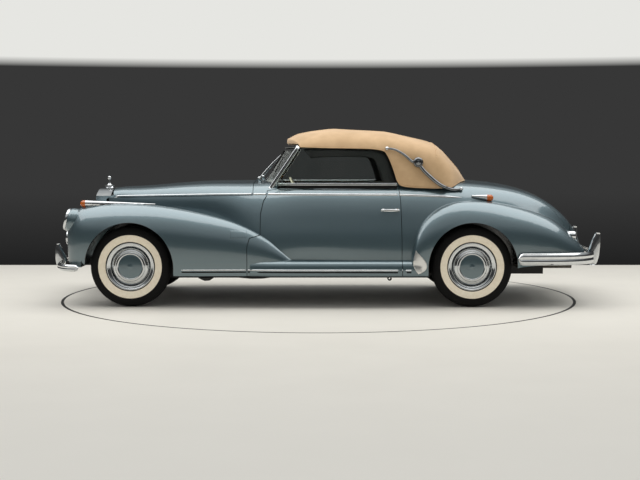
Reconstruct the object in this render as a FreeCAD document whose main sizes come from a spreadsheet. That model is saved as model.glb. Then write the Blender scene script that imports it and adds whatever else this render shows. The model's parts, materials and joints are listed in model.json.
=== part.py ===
"""A convertible car of the early 1950s with its soft top up, as a FreeCAD document.

Frame: +X forward, +Y to the car's left, +Z up, origin on the ground under the middle of the car.
Lengths are millimetres. Every driving size is a cell of the spreadsheet named sizes.
"""

import FreeCAD, Part
import math
import os
from types import SimpleNamespace
from FreeCAD import Placement, Rotation, Vector

DRIVING_SIZES = [
    ("wheelbase", 2901, "front axle to rear axle"),
    ("front_axle_x", 1682, "front axle ahead of the origin"),
    ("track_front", 1480, "between the front tyres' middles"),
    ("track_rear", 1525, "between the rear tyres' middles"),
    ("tyre_radius", 345, "outside of the tread"),
    ("tyre_width", 168, "across the side walls"),
    ("rim_radius", 205, "tyre bead to wheel rim"),
    ("rim_width", 140, "wheel rim"),
    ("arch_radius", 376, "wheel arch cut in the wings"),
    ("well_radius", 412, "wheel well behind the front wing's skin"),
    ("hub_radius", 38, "stub axles"),
    ("kingpin_inset", 100, "steering axis inside the tyre's middle"),
    ("skin_half_width", 858, "widest part of the door skin above its flare"),
    ("flare_half_width", 926, "sill flare under the doors"),
    ("flare_height", 405, "where the door skin meets the sill flare"),
    ("belt_half_width", 722, "door skin at the belt"),
    ("belt_height", 1046, "top of the doors"),
    ("sill_height", 272, "lower edge of the body"),
    ("floor_height", 318, "top of the floor pan"),
    ("floor_thickness", 12, "floor pan"),
    ("cabin_half_width", 655, "inner faces of the doors"),
    ("cabin_front_x", 590, "firewall"),
    ("cabin_rear_x", -1130, "rear bulkhead"),
    ("shut_gap", 5, "between a moving panel and its neighbours"),
    ("door_rear_radius", 1308, "door's rear shut face about its hinge line"),
    ("hinge_x", 686.5, "door hinge line"),
    ("hinge_y", 917, "door hinge line"),
    ("cowl_front_x", 645, "rear edge of the bonnet opening"),
    ("bonnet_front_x", 1915, "front edge of the bonnet"),
    ("bonnet_thickness", 16, "bonnet panel"),
    ("lid_half_width", 500, "boot lid"),
    ("lid_front_x", -1462, "boot lid's hinge edge"),
    ("lid_rear_x", -2118, "boot lid's lower edge"),
    ("lid_thickness", 22, "boot lid panel"),
    ("cloth_thickness", 14, "soft top with its lining"),
    ("glass_thickness", 6, "panes"),
    ("rail_half_gap", 420, "chassis rails from the middle"),
    ("rail_width", 70, "chassis rails"),
    ("engine_length", 780, "engine block"),
    ("engine_width", 420, "engine block"),
    ("engine_height", 520, "engine block"),
]

os.makedirs("parts", exist_ok=True)
doc = FreeCAD.newDocument("convertible")
sheet = doc.addObject("Spreadsheet::Sheet", "sizes")
for row, (alias, value, meaning) in enumerate(DRIVING_SIZES, start=1):
    sheet.set(f"A{row}", alias)
    sheet.set(f"B{row}", str(value))
    sheet.set(f"C{row}", meaning)
    sheet.setAlias(f"B{row}", alias)
doc.recompute()
size = SimpleNamespace(**{alias: float(sheet.get(alias)) for alias, _, _ in DRIVING_SIZES})

ORIGIN = Vector(0, 0, 0)
SIDEWAYS = Vector(0, 1, 0)
UP = Vector(0, 0, 1)
WIDE = 1200
rear_axle_x = size.front_axle_x - size.wheelbase
axle_height = size.tyre_radius
kingpin_y = size.track_front / 2 - size.kingpin_inset
seat_gap = 0.3


def smooth(points):
    """A monotone cubic through (position, value) pairs, as a function of position."""
    points = sorted(points)
    xs = [p[0] for p in points]
    ys = [p[1] for p in points]
    slopes = [(ys[i + 1] - ys[i]) / (xs[i + 1] - xs[i]) for i in range(len(xs) - 1)]
    tangents = [slopes[0]]
    for before, after in zip(slopes, slopes[1:]):
        level = before * after <= 0
        tangents.append(0.0 if level else 2 * before * after / (before + after))
    tangents.append(slopes[-1])

    def value(x):
        x = min(max(x, xs[0]), xs[-1])
        i = max(k for k in range(len(xs) - 1) if xs[k] <= x or k == 0)
        span = xs[i + 1] - xs[i]
        u = (x - xs[i]) / span
        return (
            ys[i] * (1 + 2 * u) * (1 - u) ** 2
            + tangents[i] * span * u * (1 - u) ** 2
            + ys[i + 1] * u * u * (3 - 2 * u)
            + tangents[i + 1] * span * u * u * (u - 1)
        )

    return value


def spline_edge(points):
    curve = Part.BSplineCurve()
    curve.interpolate(points)
    return curve.toShape()


def arch_section(x, half):
    """Closed section across the car: a spline over the top and a straight bottom."""
    left = [Vector(x, y, z) for y, z in half]
    right = [Vector(x, -y, z) for y, z in reversed(half[:-1])]
    over = left + right
    return Part.Wire([spline_edge(over), Part.makeLine(over[-1], over[0])])


def loft(wires):
    body = Part.makeLoft(wires, True, False)
    if body.Volume < 0:
        body.reverse()
    return body


def side_prism(outline, y_from=-WIDE, y_to=WIDE):
    """Solid between two planes along Y, from an outline of (x, z) points."""
    corners = [Vector(x, y_from, z) for x, z in outline]
    face = Part.Face(Part.makePolygon(corners + corners[:1]))
    return face.extrude(Vector(0, y_to - y_from, 0))


def plan_prism(outline, z_from, z_to):
    """Upright solid from an outline of (x, y) points."""
    corners = [Vector(x, y, z_from) for x, y in outline]
    face = Part.Face(Part.makePolygon(corners + corners[:1]))
    return face.extrude(Vector(0, 0, z_to - z_from))


def box(x_from, x_to, y_from, y_to, z_from, z_to):
    return Part.makeBox(x_to - x_from, y_to - y_from, z_to - z_from, Vector(x_from, y_from, z_from))


def rod(start, end, radius):
    return Part.makeCylinder(radius, (end - start).Length, start, end - start)


def upright_cylinder(x, y, radius, z_from=0, z_to=1600):
    return Part.makeCylinder(radius, z_to - z_from, Vector(x, y, z_from), UP)


def cross_cylinder(x, z, radius, y_from, y_to):
    return Part.makeCylinder(radius, y_to - y_from, Vector(x, y_from, z), SIDEWAYS)


def mirrored(shape):
    return shape.mirror(ORIGIN, SIDEWAYS)


def keep_largest(shape):
    return max(shape.Solids, key=lambda solid: solid.Volume)


nodes = []


def add_shape(name, shape):
    feature = doc.addObject("Part::Feature", name)
    feature.Label = name
    solids = shape.Solids
    feature.Shape = solids[0] if len(solids) == 1 else Part.makeCompound(solids)
    nodes.append(feature)
    return feature


def add_pair(name, shape):
    """The left piece and its mirror image on the right."""
    add_shape(name + "_left", shape)
    add_shape(name + "_right", mirrored(shape))


# Body lines, as functions of the station x
belt_half = smooth([
    (-2240, 300), (-2150, 455), (-1950, 560), (-1600, 650), (-1140, 700),
    (-600, size.belt_half_width), (0, size.belt_half_width + 6), (520, 700),
    (640, 655), (1000, 545), (1500, 395), (1960, 262),
])
skin_half = smooth([
    (-2240, 400), (-2150, 560), (-1950, 680), (-1600, 780), (-1140, 840),
    (-600, size.skin_half_width), (0, size.skin_half_width + 4), (520, 840),
    (640, 800), (1000, 600), (1500, 430), (1960, 275),
])
foot_half = smooth([
    (-2240, 380), (-1950, 620), (-1140, 830), (-600, size.skin_half_width - 4),
    (520, 836), (700, 790), (1000, 600), (1500, 430), (1960, 275),
])
shoulder_height = smooth([
    (-2240, 470), (-2120, 600), (-1950, 735), (-1700, 850), (-1450, 905), (-1140, 935),
    (-600, 960), (500, 950), (860, 946), (1960, 914),
])
crown_height = smooth([
    (-2240, 560), (-2127, 729), (-2005, 851), (-1882, 925), (-1700, 998), (-1515, 1036),
    (-1222, 1072), (-600, 1076), (400, 1078), (655, 1064), (892, 1063), (1400, 1036), (1960, 988),
])
foot_height = smooth([
    (-2240, 440), (-2000, 400), (-1600, 350), (-1100, size.sill_height),
    (700, size.sill_height), (1960, size.sill_height + 40),
])


def body_section(x, inset=0.0, drop=0.0):
    """Half section of the central body from its foot to the top centre, inset for inner skins."""
    foot, shoulder, crown = foot_height(x) - drop, shoulder_height(x), crown_height(x) - inset
    wide, belt, flare = skin_half(x) - inset, belt_half(x) - inset, foot_half(x) - inset
    rise = shoulder - foot
    return arch_section(x, [
        (flare, foot),
        (flare - 0.15 * (flare - wide), foot + 0.12 * rise),
        (wide, foot + 0.36 * rise),
        (wide - 0.30 * (wide - belt), foot + 0.66 * rise),
        (belt, shoulder - inset * 0.4),
        (0.90 * belt, shoulder + 0.55 * (crown - shoulder)),
        (0.58 * belt, shoulder + 0.88 * (crown - shoulder)),
        (0, crown),
    ])


def sill_section(x, outer):
    """The flare along the foot of the doors: upright low down, then rounded in to the skin."""
    foot, top = size.sill_height, size.flare_height
    rise = top - foot
    points = [Vector(x, y, z) for y, z in [
        (outer - 14, foot), (outer - 1, foot + 0.22 * rise), (outer, foot + 0.44 * rise),
        (outer - 5, foot + 0.68 * rise), (outer - 22, foot + 0.86 * rise), (outer - 46, foot + 0.96 * rise),
        (outer - 80, top),
    ]]
    inner = [Vector(x, size.cabin_half_width - 60, z) for z in (top, foot)]
    return Part.Wire([spline_edge(points), Part.makeLine(points[-1], inner[0]),
                      Part.makeLine(*inner), Part.makeLine(inner[1], points[0])])


BODY_STATIONS = [1960, 1700, 1350, 1000, 640, 300, -200, -700, -1140, -1450, -1700, -1950, -2120, -2240]
body_mass = loft([body_section(x) for x in BODY_STATIONS])
SILL_REACH = [(660, -26), (560, -12), (400, -2), (0, 0), (-500, -1), (-700, -3), (-780, -8)]
sill_mass = loft([sill_section(x, size.flare_half_width + step) for x, step in SILL_REACH])

# Front wing: crest line, outer bulge and inner edge
wing_crest_z = smooth([
    (300, 398), (400, 486), (507, 570), (576, 613), (838, 729), (1000, 770), (1197, 819), (1393, 859),
    (1590, 873), (1786, 878), (1982, 869), (2118, 838), (2190, 775), (2225, 690),
])
wing_crest_y = smooth([
    (300, 850), (576, 820), (1000, 765), (1600, 725), (2000, 705), (2225, 690),
])
wing_outer_y = smooth([
    (300, 866), (507, 888), (700, 900), (1000, 922), (1682, 930), (2000, 905), (2120, 865), (2190, 810), (2225, 745),
])
wing_inner_y = smooth([
    (300, 640), (700, 560), (1300, 400), (1960, 262), (2120, 430), (2190, 520), (2225, 625),
])
wing_inner_z = smooth([
    (300, 380), (576, 560), (1000, 690), (1600, 740), (2000, 720), (2225, 640),
])
wing_foot_z = smooth([
    (300, 330), (700, size.sill_height), (1300, size.sill_height), (2060, 340), (2190, 350), (2225, 480),
])


def wing_section(x, crest_y, crest_z, outer_y, inner_y, inner_z, foot_z):
    """Half section of a wing: foot, outer bulge, crest and the valley beside the body."""
    rise = crest_z - foot_z
    points = [
        Vector(x, outer_y - 0.06 * (outer_y - inner_y), foot_z),
        Vector(x, outer_y, foot_z + 0.40 * rise),
        Vector(x, crest_y + 0.72 * (outer_y - crest_y), foot_z + 0.80 * rise),
        Vector(x, crest_y, crest_z),
        Vector(x, crest_y - 0.40 * (crest_y - inner_y), crest_z - 0.30 * (crest_z - inner_z)),
        Vector(x, inner_y, inner_z),
    ]
    corner = Vector(x, inner_y, foot_z)
    return Part.Wire([
        spline_edge(points),
        Part.makeLine(points[-1], corner),
        Part.makeLine(corner, points[0]),
    ])


WING_STATIONS = [300, 400, 507, 600, 838, 1197, 1590, 1900, 2060, 2150, 2200, 2225]
front_wing_mass = loft([
    wing_section(x, wing_crest_y(x), wing_crest_z(x), wing_outer_y(x),
                 wing_inner_y(x), wing_inner_z(x), wing_foot_z(x))
    for x in WING_STATIONS
])

# Rear wing lines
haunch_crest_z = smooth([
    (-2190, 500), (-2150, 550), (-2101, 595), (-2021, 671), (-1940, 728), (-1767, 808), (-1595, 855),
    (-1422, 887), (-1238, 900), (-1100, 890), (-960, 850), (-850, 775), (-760, 660), (-704, 470),
])
haunch_crest_y = smooth([(-2190, 640), (-1900, 690), (-1400, 730), (-900, 790), (-704, 850)])
haunch_outer_y = smooth([
    (-2190, 740), (-2100, 810), (-1900, 880), (-1600, 920), (-1219, 930), (-850, 928), (-704, 918),
])
haunch_foot_z = smooth([
    (-2190, 400), (-2000, 380), (-1600, 340), (-1300, size.sill_height), (-704, size.sill_height),
])
HAUNCH_STATIONS = [-704, -740, -800, -900, -1050, -1238, -1422, -1600, -1800, -1980, -2100, -2160, -2190]
rear_wing_mass = loft([
    wing_section(x, haunch_crest_y(x), haunch_crest_z(x), haunch_outer_y(x), 400,
                 haunch_crest_z(x) - 0.12 * (haunch_crest_z(x) - haunch_foot_z(x)), haunch_foot_z(x))
    for x in HAUNCH_STATIONS
])

# Floor heights and the shaft tunnel, shared by the floor and by what sits over it
SEAT_STEP_X = -840
SEAT_PAN_HEIGHT = 482
TUNNEL_HALF = 88
TUNNEL_HEIGHT = 410

# Shut lines seen from the side
gap = size.shut_gap
door_front_line = [(521, size.belt_height), (521, 947), (552, 894), (576, 785), (576, 612), (664, 588),
                   (size.hinge_x - gap / 2, 520), (size.hinge_x - gap / 2, size.sill_height - 10)]
door_zone = side_prism([(-900, size.sill_height - 10), (-900, size.belt_height)] + door_front_line, 0, WIDE)
door_zone_wide = door_zone.fuse([
    door_zone.translated(Vector(*shift)) for shift in ((gap, 0, 0), (0, 0, gap), (gap, 0, gap), (0, 0, -gap))
])
door_reach = upright_cylinder(size.hinge_x, size.hinge_y, size.door_rear_radius)
door_reach_wide = upright_cylinder(size.hinge_x, size.hinge_y, size.door_rear_radius + gap)
cabin_plan = [
    (size.cabin_front_x, size.cabin_half_width - 40), (480, size.cabin_half_width),
    (-660, size.cabin_half_width), (-820, 560), (size.cabin_rear_x, 540),
]
cabin_plan = cabin_plan + [(x, -y) for x, y in reversed(cabin_plan)]
cabin_space = plan_prism(cabin_plan, size.floor_height, 1600)


PANE_FOOT = size.belt_height - 55
PANE_OUTLINE = [(455, PANE_FOOT), (455, size.belt_height + 12), (250, 1352), (-352, 1352),
                (-458, 1310), (-484, 1290), (-540, 1139), (-556, PANE_FOOT)]
PANE_SLOT = [(456, PANE_FOOT - 1), (456, 1200), (-557, 1200), (-557, PANE_FOOT - 1)]


def leaning_pane(outline, outward, thickness, low=675, high=640):
    """Flat sheet that leans inwards above the belt."""
    corners = [Vector(x, low - (low - high) * (z - size.belt_height) / 320 + outward, z) for x, z in outline]
    face = Part.Face(Part.makePolygon(corners + corners[:1]))
    return face.extrude(Vector(0, thickness, 0))


def door_shape():
    skin = body_mass.fuse([front_wing_mass, sill_mass])
    door = skin.common(door_zone).common(door_reach).cut(cabin_space)
    door = door.common(box(-900, 700, size.cabin_half_width, WIDE, 0, 1200))
    return keep_largest(door.cut(leaning_pane(PANE_SLOT, -seat_gap, size.glass_thickness + 2 * seat_gap)))


# Bonnet line, and engine bay inside it
bonnet_line = [(size.cowl_front_x - 5, 950), (size.bonnet_front_x + 60, 916)]
bonnet_zone = side_prism([(x, z) for x, z in bonnet_line] + [(size.bonnet_front_x + 60, 1300),
                                                             (size.cowl_front_x - 5, 1300)])
bonnet_space = side_prism([(x, z - gap) for x, z in bonnet_line] + [(size.bonnet_front_x + 60, 1300),
                                                                    (size.cowl_front_x - 5, 1300)])
bonnet_reach = cross_cylinder(size.cowl_front_x + gap, crown_height(size.cowl_front_x + gap) + 2.2, size.bonnet_front_x
                              - size.cowl_front_x - gap, -WIDE, WIDE)
inner_mass = loft([body_section(x, size.bonnet_thickness, 60) for x in BODY_STATIONS])
bay_plan = [(size.cabin_front_x + 40, 560), (1000, 500), (1500, 355), (1960, 225)]
bay_plan = bay_plan + [(x, -y) for x, y in reversed(bay_plan)]
engine_bay = plan_prism(bay_plan, 200, 1300)


def hinge_strip(axis_x, toward):
    """Barrel of a lid's hinge at the top of its gap, on a leaf that the fixed panel carries."""
    barrel_radius = HINGE_RISE - 3 * seat_gap
    z = crown_height(axis_x) + HINGE_RISE
    barrel = cross_cylinder(axis_x, z, barrel_radius, -90, 90)
    leaf = box(*sorted((axis_x, axis_x + toward * 16)), -90, 90, z - 4, z + barrel_radius / 2)
    return barrel.fuse(leaf.cut(box(*sorted((axis_x, axis_x - toward * 16)), -91, 91, z - 9, z)))


HINGE_RISE = 2.2


def bonnet_shape():
    room = box(size.cowl_front_x + gap, 1990, -WIDE, WIDE, 800, 1200)
    return keep_largest(body_mass.common(bonnet_zone).common(room).common(bonnet_reach).cut(inner_mass))


def cowl_shape():
    back_x = 440
    cowl = body_mass.common(box(back_x, size.cowl_front_x, -WIDE, WIDE, 200, 1200))
    footwell = box(0, size.cabin_front_x, -size.cabin_half_width, size.cabin_half_width, 0, 930)
    cowl = cowl.cut(footwell)
    inner = size.cabin_half_width - gap
    beside = side_prism([(0, 0), (0, 1300), (521 + gap, 1300), (521 + gap, 0)], inner, WIDE)
    for cutter in (beside, door_zone_wide.common(box(-900, 900, inner, WIDE, 0, 1300))):
        cowl = cowl.cut(cutter).cut(mirrored(cutter))
    cowl = cowl.cut(box(0, 700, -WIDE, WIDE, 0, size.floor_height))
    cowl = cowl.cut(box(size.cabin_front_x - 10, 700, -TUNNEL_HALF, TUNNEL_HALF, 0, TUNNEL_HEIGHT))
    return keep_largest(cowl.fuse(hinge_strip(size.cowl_front_x + gap, -1)))


def front_wing_shape():
    block = front_wing_mass.fuse(body_mass.common(box(size.cowl_front_x, 1950, 0, WIDE, 200, 1200)))
    ahead = side_prism([(576 + gap, 1100), (576 + gap, 612 + gap), (664 + gap, 588 + gap),
                        (size.hinge_x + gap / 2, 520), (size.hinge_x + gap / 2, 0), (2300, 0), (2300, 1100)], 0, WIDE)
    beside_cowl = body_mass.common(box(400, size.cowl_front_x, 0, WIDE, 200, 1200))
    block = block.common(ahead).cut(beside_cowl).cut(bonnet_space).cut(engine_bay)
    well_inside, well_outside = kingpin_y - 185, size.track_front / 2 + 125
    well = cross_cylinder(size.front_axle_x, axle_height, size.well_radius, well_inside, well_outside)
    arch = cross_cylinder(size.front_axle_x, axle_height, size.arch_radius, well_inside, WIDE)
    under = box(size.front_axle_x - size.well_radius, size.front_axle_x + size.well_radius,
                well_inside, well_outside, 0, axle_height)
    under_arch = box(size.front_axle_x - size.arch_radius, size.front_axle_x + size.arch_radius,
                     well_outside - 65, WIDE, 0, axle_height)
    block = block.cut(well.fuse([arch, under, under_arch]))
    pocket = box(700, 1230, 600, 870, 200, 640)
    rail_room = box(600, 2300, 375, 462, 0, 410).fuse(box(1950, 2300, 0, 462, 0, 410))
    arm_room = box(size.front_axle_x - 150, size.front_axle_x + 150, 200, 500, 0, axle_height + 160)
    pin_low, pin_high = 375, 425
    pin = upright_cylinder(size.hinge_x, size.hinge_y, gap / 2 - seat_gap, pin_low, pin_high)
    tab = box(size.hinge_x, size.hinge_x + 2 * gap, size.hinge_y - 12, size.hinge_y - 2, pin_low, pin_high)
    block = block.cut(pocket.fuse([rail_room, arm_room])).cut(radiator_block())
    return keep_largest(block.fuse([pin, tab]))


def rear_well():
    reach = size.arch_radius
    inside = size.track_rear / 2 - 172.5
    round_part = cross_cylinder(rear_axle_x, axle_height, reach, inside, WIDE)
    return round_part.fuse(box(rear_axle_x - reach, rear_axle_x + reach, inside, WIDE, 0, axle_height))


boot_space = plan_prism([(-1180, -520), (-1180, 520), (-1900, 520), (-2080, 430), (-2080, -430), (-1900, -520)],
                        480, 1000)


def rear_body_shape():
    tail = body_mass.fuse([sill_mass, mirrored(sill_mass)]).common(box(-2300, -500, -WIDE, WIDE, 200, 1200))
    tail = tail.cut(cabin_space).cut(door_reach_wide).cut(mirrored(door_reach_wide))
    tail = tail.cut(rear_well()).cut(mirrored(rear_well()))
    lid_room = box(size.lid_rear_x - gap, size.lid_front_x + gap, -size.lid_half_width - gap,
                   size.lid_half_width + gap, 560 - gap, 1200)
    tail = tail.cut(boot_space.common(lid_inner_mass)).cut(lid_room)
    return keep_largest(tail.fuse(hinge_strip(size.lid_front_x, 1)))


lid_inner_mass = loft([body_section(x, size.lid_thickness, 0) for x in BODY_STATIONS])


def boot_lid_shape():
    room = box(size.lid_rear_x, size.lid_front_x, -size.lid_half_width, size.lid_half_width, 560, 1200)
    return keep_largest(body_mass.common(room).cut(lid_inner_mass))


def rear_wing_shape():
    wing = rear_wing_mass.cut(body_mass).cut(sill_mass).cut(rear_well()).cut(box(-2300, -1200, 0, 600, 0, 460))
    return keep_largest(wing)


# Windscreen: a bowed sheet swept up along its rake
RAKE = Vector(-231, 0, 340)
SCREEN_FOOT_Z = 985
SCREEN_RISE = 385


def screen_band(outside, thickness, half_span, start, end, bow=122, nose_x=628):
    """Sheet between two bowed plan arcs, from start to end shares of the screen's rise."""
    def arc(shift, z_share):
        base = Vector(nose_x, 0, SCREEN_FOOT_Z) + RAKE * (z_share * SCREEN_RISE / RAKE.z)
        sag = bow * (half_span / 640) ** 2
        return Part.Arc(base + Vector(shift - sag, -half_span, 0), base + Vector(shift, 0, 0),
                        base + Vector(shift - sag, half_span, 0)).toShape()
    front, back = arc(outside, start), arc(outside - thickness, start)
    ends = [Part.makeLine(front.Vertexes[i].Point, back.Vertexes[i].Point) for i in (0, 1)]
    face = Part.Face(Part.Wire(Part.__sortEdges__([front, back] + ends)))
    return face.extrude(RAKE * ((end - start) * SCREEN_RISE / RAKE.z))


cowl_top = loft([body_section(x, -0.4, 0) for x in BODY_STATIONS])


def windscreen_glass_shape():
    return keep_largest(screen_band(-9, size.glass_thickness, 606, 0.0, 0.955).cut(cowl_top))


def windscreen_frame_shape():
    outer = screen_band(0, 24, 640, 0.0, 1.0)
    opening = screen_band(40, 100, 607, -0.1, 0.956)
    frame = outer.cut(opening).cut(cowl_top)
    return frame


# Soft top lines
roof_crown = smooth([
    (372, 1430), (263, 1487), (110, 1517), (-39, 1528), (-273, 1522), (-505, 1503), (-739, 1458),
    (-931, 1401), (-1080, 1255), (-1217, 1087), (-1235, 1062),
])
roof_half = smooth([
    (372, 600), (200, 615), (-39, 622), (-505, 632), (-931, 640), (-1040, 610), (-1120, 525), (-1180, 390),
    (-1235, 190),
])
roof_foot_half = smooth([
    (372, 640), (0, 665), (-505, 690), (-931, 700), (-1040, 672), (-1120, 575), (-1180, 430), (-1235, 220),
])
roof_side_z = smooth([
    (372, 1370), (200, 1395), (-39, 1405), (-505, 1390), (-739, 1345), (-931, 1275), (-1040, 1190),
    (-1120, 1130), (-1180, 1090), (-1235, 1046),
])
ROOF_STATIONS = [372, 263, 110, -100, -400, -700, -860, -931, -1000, -1060, -1120, -1180, -1235]
roof_foot_z = 1000


def roof_section(x, inset=0.0, drop=0.0):
    crown, side_z, half = roof_crown(x) - inset, roof_side_z(x) - inset, roof_half(x) - inset
    foot_half_width = roof_foot_half(x) - inset
    return arch_section(x, [
        (foot_half_width, roof_foot_z - drop),
        (foot_half_width - 0.25 * (foot_half_width - half), roof_foot_z + 0.4 * (side_z - roof_foot_z)),
        (half, side_z),
        (0.86 * half, side_z + 0.52 * (crown - side_z)),
        (0.52 * half, side_z + 0.88 * (crown - side_z)),
        (0, crown),
    ])


roof_mass = loft([roof_section(x) for x in ROOF_STATIONS])
roof_inner = loft([roof_section(x, size.cloth_thickness, 50) for x in ROOF_STATIONS])
window_line = [(420, 900), (420, 1366), (-359, 1366), (-470, 1322), (-500, 1297), (-560, 1139), (-598, 1056),
               (-640, 1040), (-640, 900)]
side_window = side_prism(window_line)
deck_top = loft([body_section(x, -0.6, 0) for x in BODY_STATIONS])


def soft_top_shape():
    top = roof_mass.cut(roof_inner)
    top = top.cut(side_window).cut(deck_top)
    ahead = screen_band(600, 600 - 1, 900, 0.5, 2.0)
    top = top.cut(ahead)
    hole = box(-1400, -900, -330, 330, 1140, 1330)
    top = top.cut(hole).cut(screen_band(0, 24, 640, 0.0, 1.0))
    top = top.cut(box(-625, 700, -WIDE, WIDE, 0, 1100))
    return keep_largest(top)


def rear_window_shape():
    pane = roof_mass.cut(roof_inner)
    opening = box(-1400, -900, -330 + seat_gap, 330 - seat_gap, 1140 + seat_gap, 1330 - seat_gap)
    return keep_largest(pane.common(opening))


def door_glass_shape():
    return leaning_pane(PANE_OUTLINE, 0, size.glass_thickness)


def place(feature, position, axis=UP, angle=0):
    feature.Placement = Placement(Vector(*position), Rotation(axis, angle))


def bound(kind, name, position=(0, 0, 0), axis=UP, angle=0, **expressions):
    """A Part primitive whose sizes are expressions on the spreadsheet."""
    feature = doc.addObject(kind, name)
    place(feature, position, axis, angle)
    for prop, expression in expressions.items():
        feature.setExpression(prop, expression)
    return feature


def as_node(feature, name):
    feature.Label = name
    nodes.append(feature)


def fused(name, features):
    union = doc.addObject("Part::MultiFuse", name)
    union.Shapes = features
    as_node(union, name)


def revolved(profile, centre, outward):
    """Solid turned about a wheel's axle from a profile of edges drawn in radius and offset."""
    face = Part.Face(Part.Wire(profile))
    turned = face.revolve(ORIGIN, SIDEWAYS, 360)
    solid = turned if outward > 0 else mirrored(turned)
    return solid.translated(centre)


def polygon_edges(points):
    corners = [Vector(radius, offset, 0) for radius, offset in points]
    return [Part.makeLine(a, b) for a, b in zip(corners, corners[1:] + corners[:1])]


def tyre_profile():
    bead, half, reach = size.rim_radius, size.tyre_width / 2, size.tyre_radius
    inner, wide, shoulder = (bead, half - 24), (bead + 62, half), (reach - 16, half - 22)

    def spot(point, sign=1):
        return Vector(point[0], sign * point[1], 0)

    return [
        Part.makeLine(spot(inner, -1), spot(inner)),
        Part.Arc(spot(inner), spot(wide), spot(shoulder)).toShape(),
        Part.Arc(spot(shoulder), Vector(reach, 0, 0), spot(shoulder, -1)).toShape(),
        Part.Arc(spot(shoulder, -1), spot(wide, -1), spot(inner, -1)).toShape(),
    ]


def wheel_profile():
    """Rim, disc, drum and hub cap as one turned piece, bored for the stub axle."""
    rim, half = size.rim_radius - seat_gap, size.rim_width / 2 - 4
    bore = size.hub_radius + 0.05
    return polygon_edges([
        (0, 40), (bore, 40), (bore, -58), (132, -58), (132, -8), (164, -8), (170, -half),
        (rim, -half), (rim, half), (rim - 8, half + 2), (rim - 18, 40), (164, 30), (150, 34),
        (142, 48), (118, 58), (98, 62), (60, 67), (0, 69),
    ])


wheel_places = {
    "front_left": (size.front_axle_x, size.track_front / 2),
    "front_right": (size.front_axle_x, -size.track_front / 2),
    "rear_left": (rear_axle_x, size.track_rear / 2),
    "rear_right": (rear_axle_x, -size.track_rear / 2),
}


def add_wheels():
    for name, (x, y) in wheel_places.items():
        centre = Vector(x, y, axle_height)
        add_shape("tyre_" + name, revolved(tyre_profile(), centre, y))
        add_shape("wheel_" + name, revolved(wheel_profile(), centre, y))


def knuckle_shape():
    """Stub axle, brake back plate and the upright that the kingpin passes through."""
    axle_y = size.track_front / 2
    x, y = size.front_axle_x, kingpin_y
    upright = upright_cylinder(x, y, 30, axle_height - 110, axle_height + 110)
    stub = cross_cylinder(x, axle_height, size.hub_radius, y, axle_y + 36)
    plate = cross_cylinder(x, axle_height, 125, y + 30, axle_y - 64)
    steer_arm = box(x - 150, x, y - 14, y + 6, axle_height - 60, axle_height - 44)
    pin_hole = upright_cylinder(x, y, 12.05, 0, 700)
    return upright.fuse([stub, plate, steer_arm]).cut(pin_hole)


def front_suspension_shape():
    """Cross member, wishbones and kingpins, one piece from side to side."""
    x, y = size.front_axle_x, kingpin_y
    rail_out = size.rail_half_gap + size.rail_width / 2
    pieces = [box(x - 70, x + 70, -size.rail_half_gap + 35, size.rail_half_gap - 35, 230, 330)]
    for side in (1, -1):
        for z_from, z_to in ((axle_height - 135, axle_height - 110 - seat_gap),
                             (axle_height + 110 + seat_gap, axle_height + 135)):
            arm = plan_prism([(x - 110, side * (size.rail_half_gap - 40)), (x + 110, side * (size.rail_half_gap - 40)),
                              (x + 26, side * y), (x - 26, side * y)], z_from, z_to)
            eye = upright_cylinder(x, side * y, 28, z_from, z_to)
            pieces += [arm, eye]
        pieces.append(upright_cylinder(x, side * y, 12, axle_height - 130, axle_height + 130))
        pieces.append(box(x - 60, x + 60, side * 385 - 25, side * 385 + 25, 200, axle_height + 135))
    return pieces[0].fuse(pieces[1:])


def rear_axle_shape():
    half = size.track_rear / 2 + 36
    beam = cross_cylinder(rear_axle_x, axle_height, size.hub_radius, -half, half)
    differential = Part.makeSphere(105, Vector(rear_axle_x, 0, axle_height))
    shaft = rod(Vector(rear_axle_x, 0, axle_height), Vector(960 - seat_gap, 0, 362), 28)
    springs = [rod(Vector(rear_axle_x, side * size.rail_half_gap, axle_height),
                   Vector(rear_axle_x, side * size.rail_half_gap, 402 - seat_gap), 45) for side in (1, -1)]
    flange_ends = (size.track_rear / 2 - 82.5, size.track_rear / 2 - 65.5)
    flanges = [cross_cylinder(rear_axle_x, axle_height, 125, *sorted(side * end for end in flange_ends))
               for side in (1, -1)]
    return beam.fuse([differential, shaft] + springs + flanges)


REAR_FLOOR_Z = 460


def chassis_shape():
    """Two rails with a rise over the rear axle, joined by cross members."""
    low, high = 215, size.floor_height - size.floor_thickness - seat_gap
    rise = 402
    outline = [(2240, 330), (2240, 400), (2000, 400), (1900, high), (-856, high), (-1000, REAR_FLOOR_Z - seat_gap),
               (-1950, REAR_FLOOR_Z - seat_gap), (-1950, rise), (-1030, rise), (-890, low), (1870, low), (1970, 330)]
    y_in = size.rail_half_gap - size.rail_width / 2
    pieces = []
    for side in (1, -1):
        pieces.append(side_prism(outline, *sorted((side * y_in, side * (y_in + size.rail_width)))))
    for x in (1350, 500, 0, -700):
        pieces.append(box(x - 40, x + 40, -y_in, y_in, 280, high - 2))
    pieces.append(box(2160, 2220, -y_in, y_in, 340, 395))
    pieces.append(box(2000, 2044, -y_in, y_in, 340, 400))
    pieces.append(box(-1940, -1910, -y_in, y_in, rise + 4, rise + 50))
    return pieces[0].fuse(pieces[1:])




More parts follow.
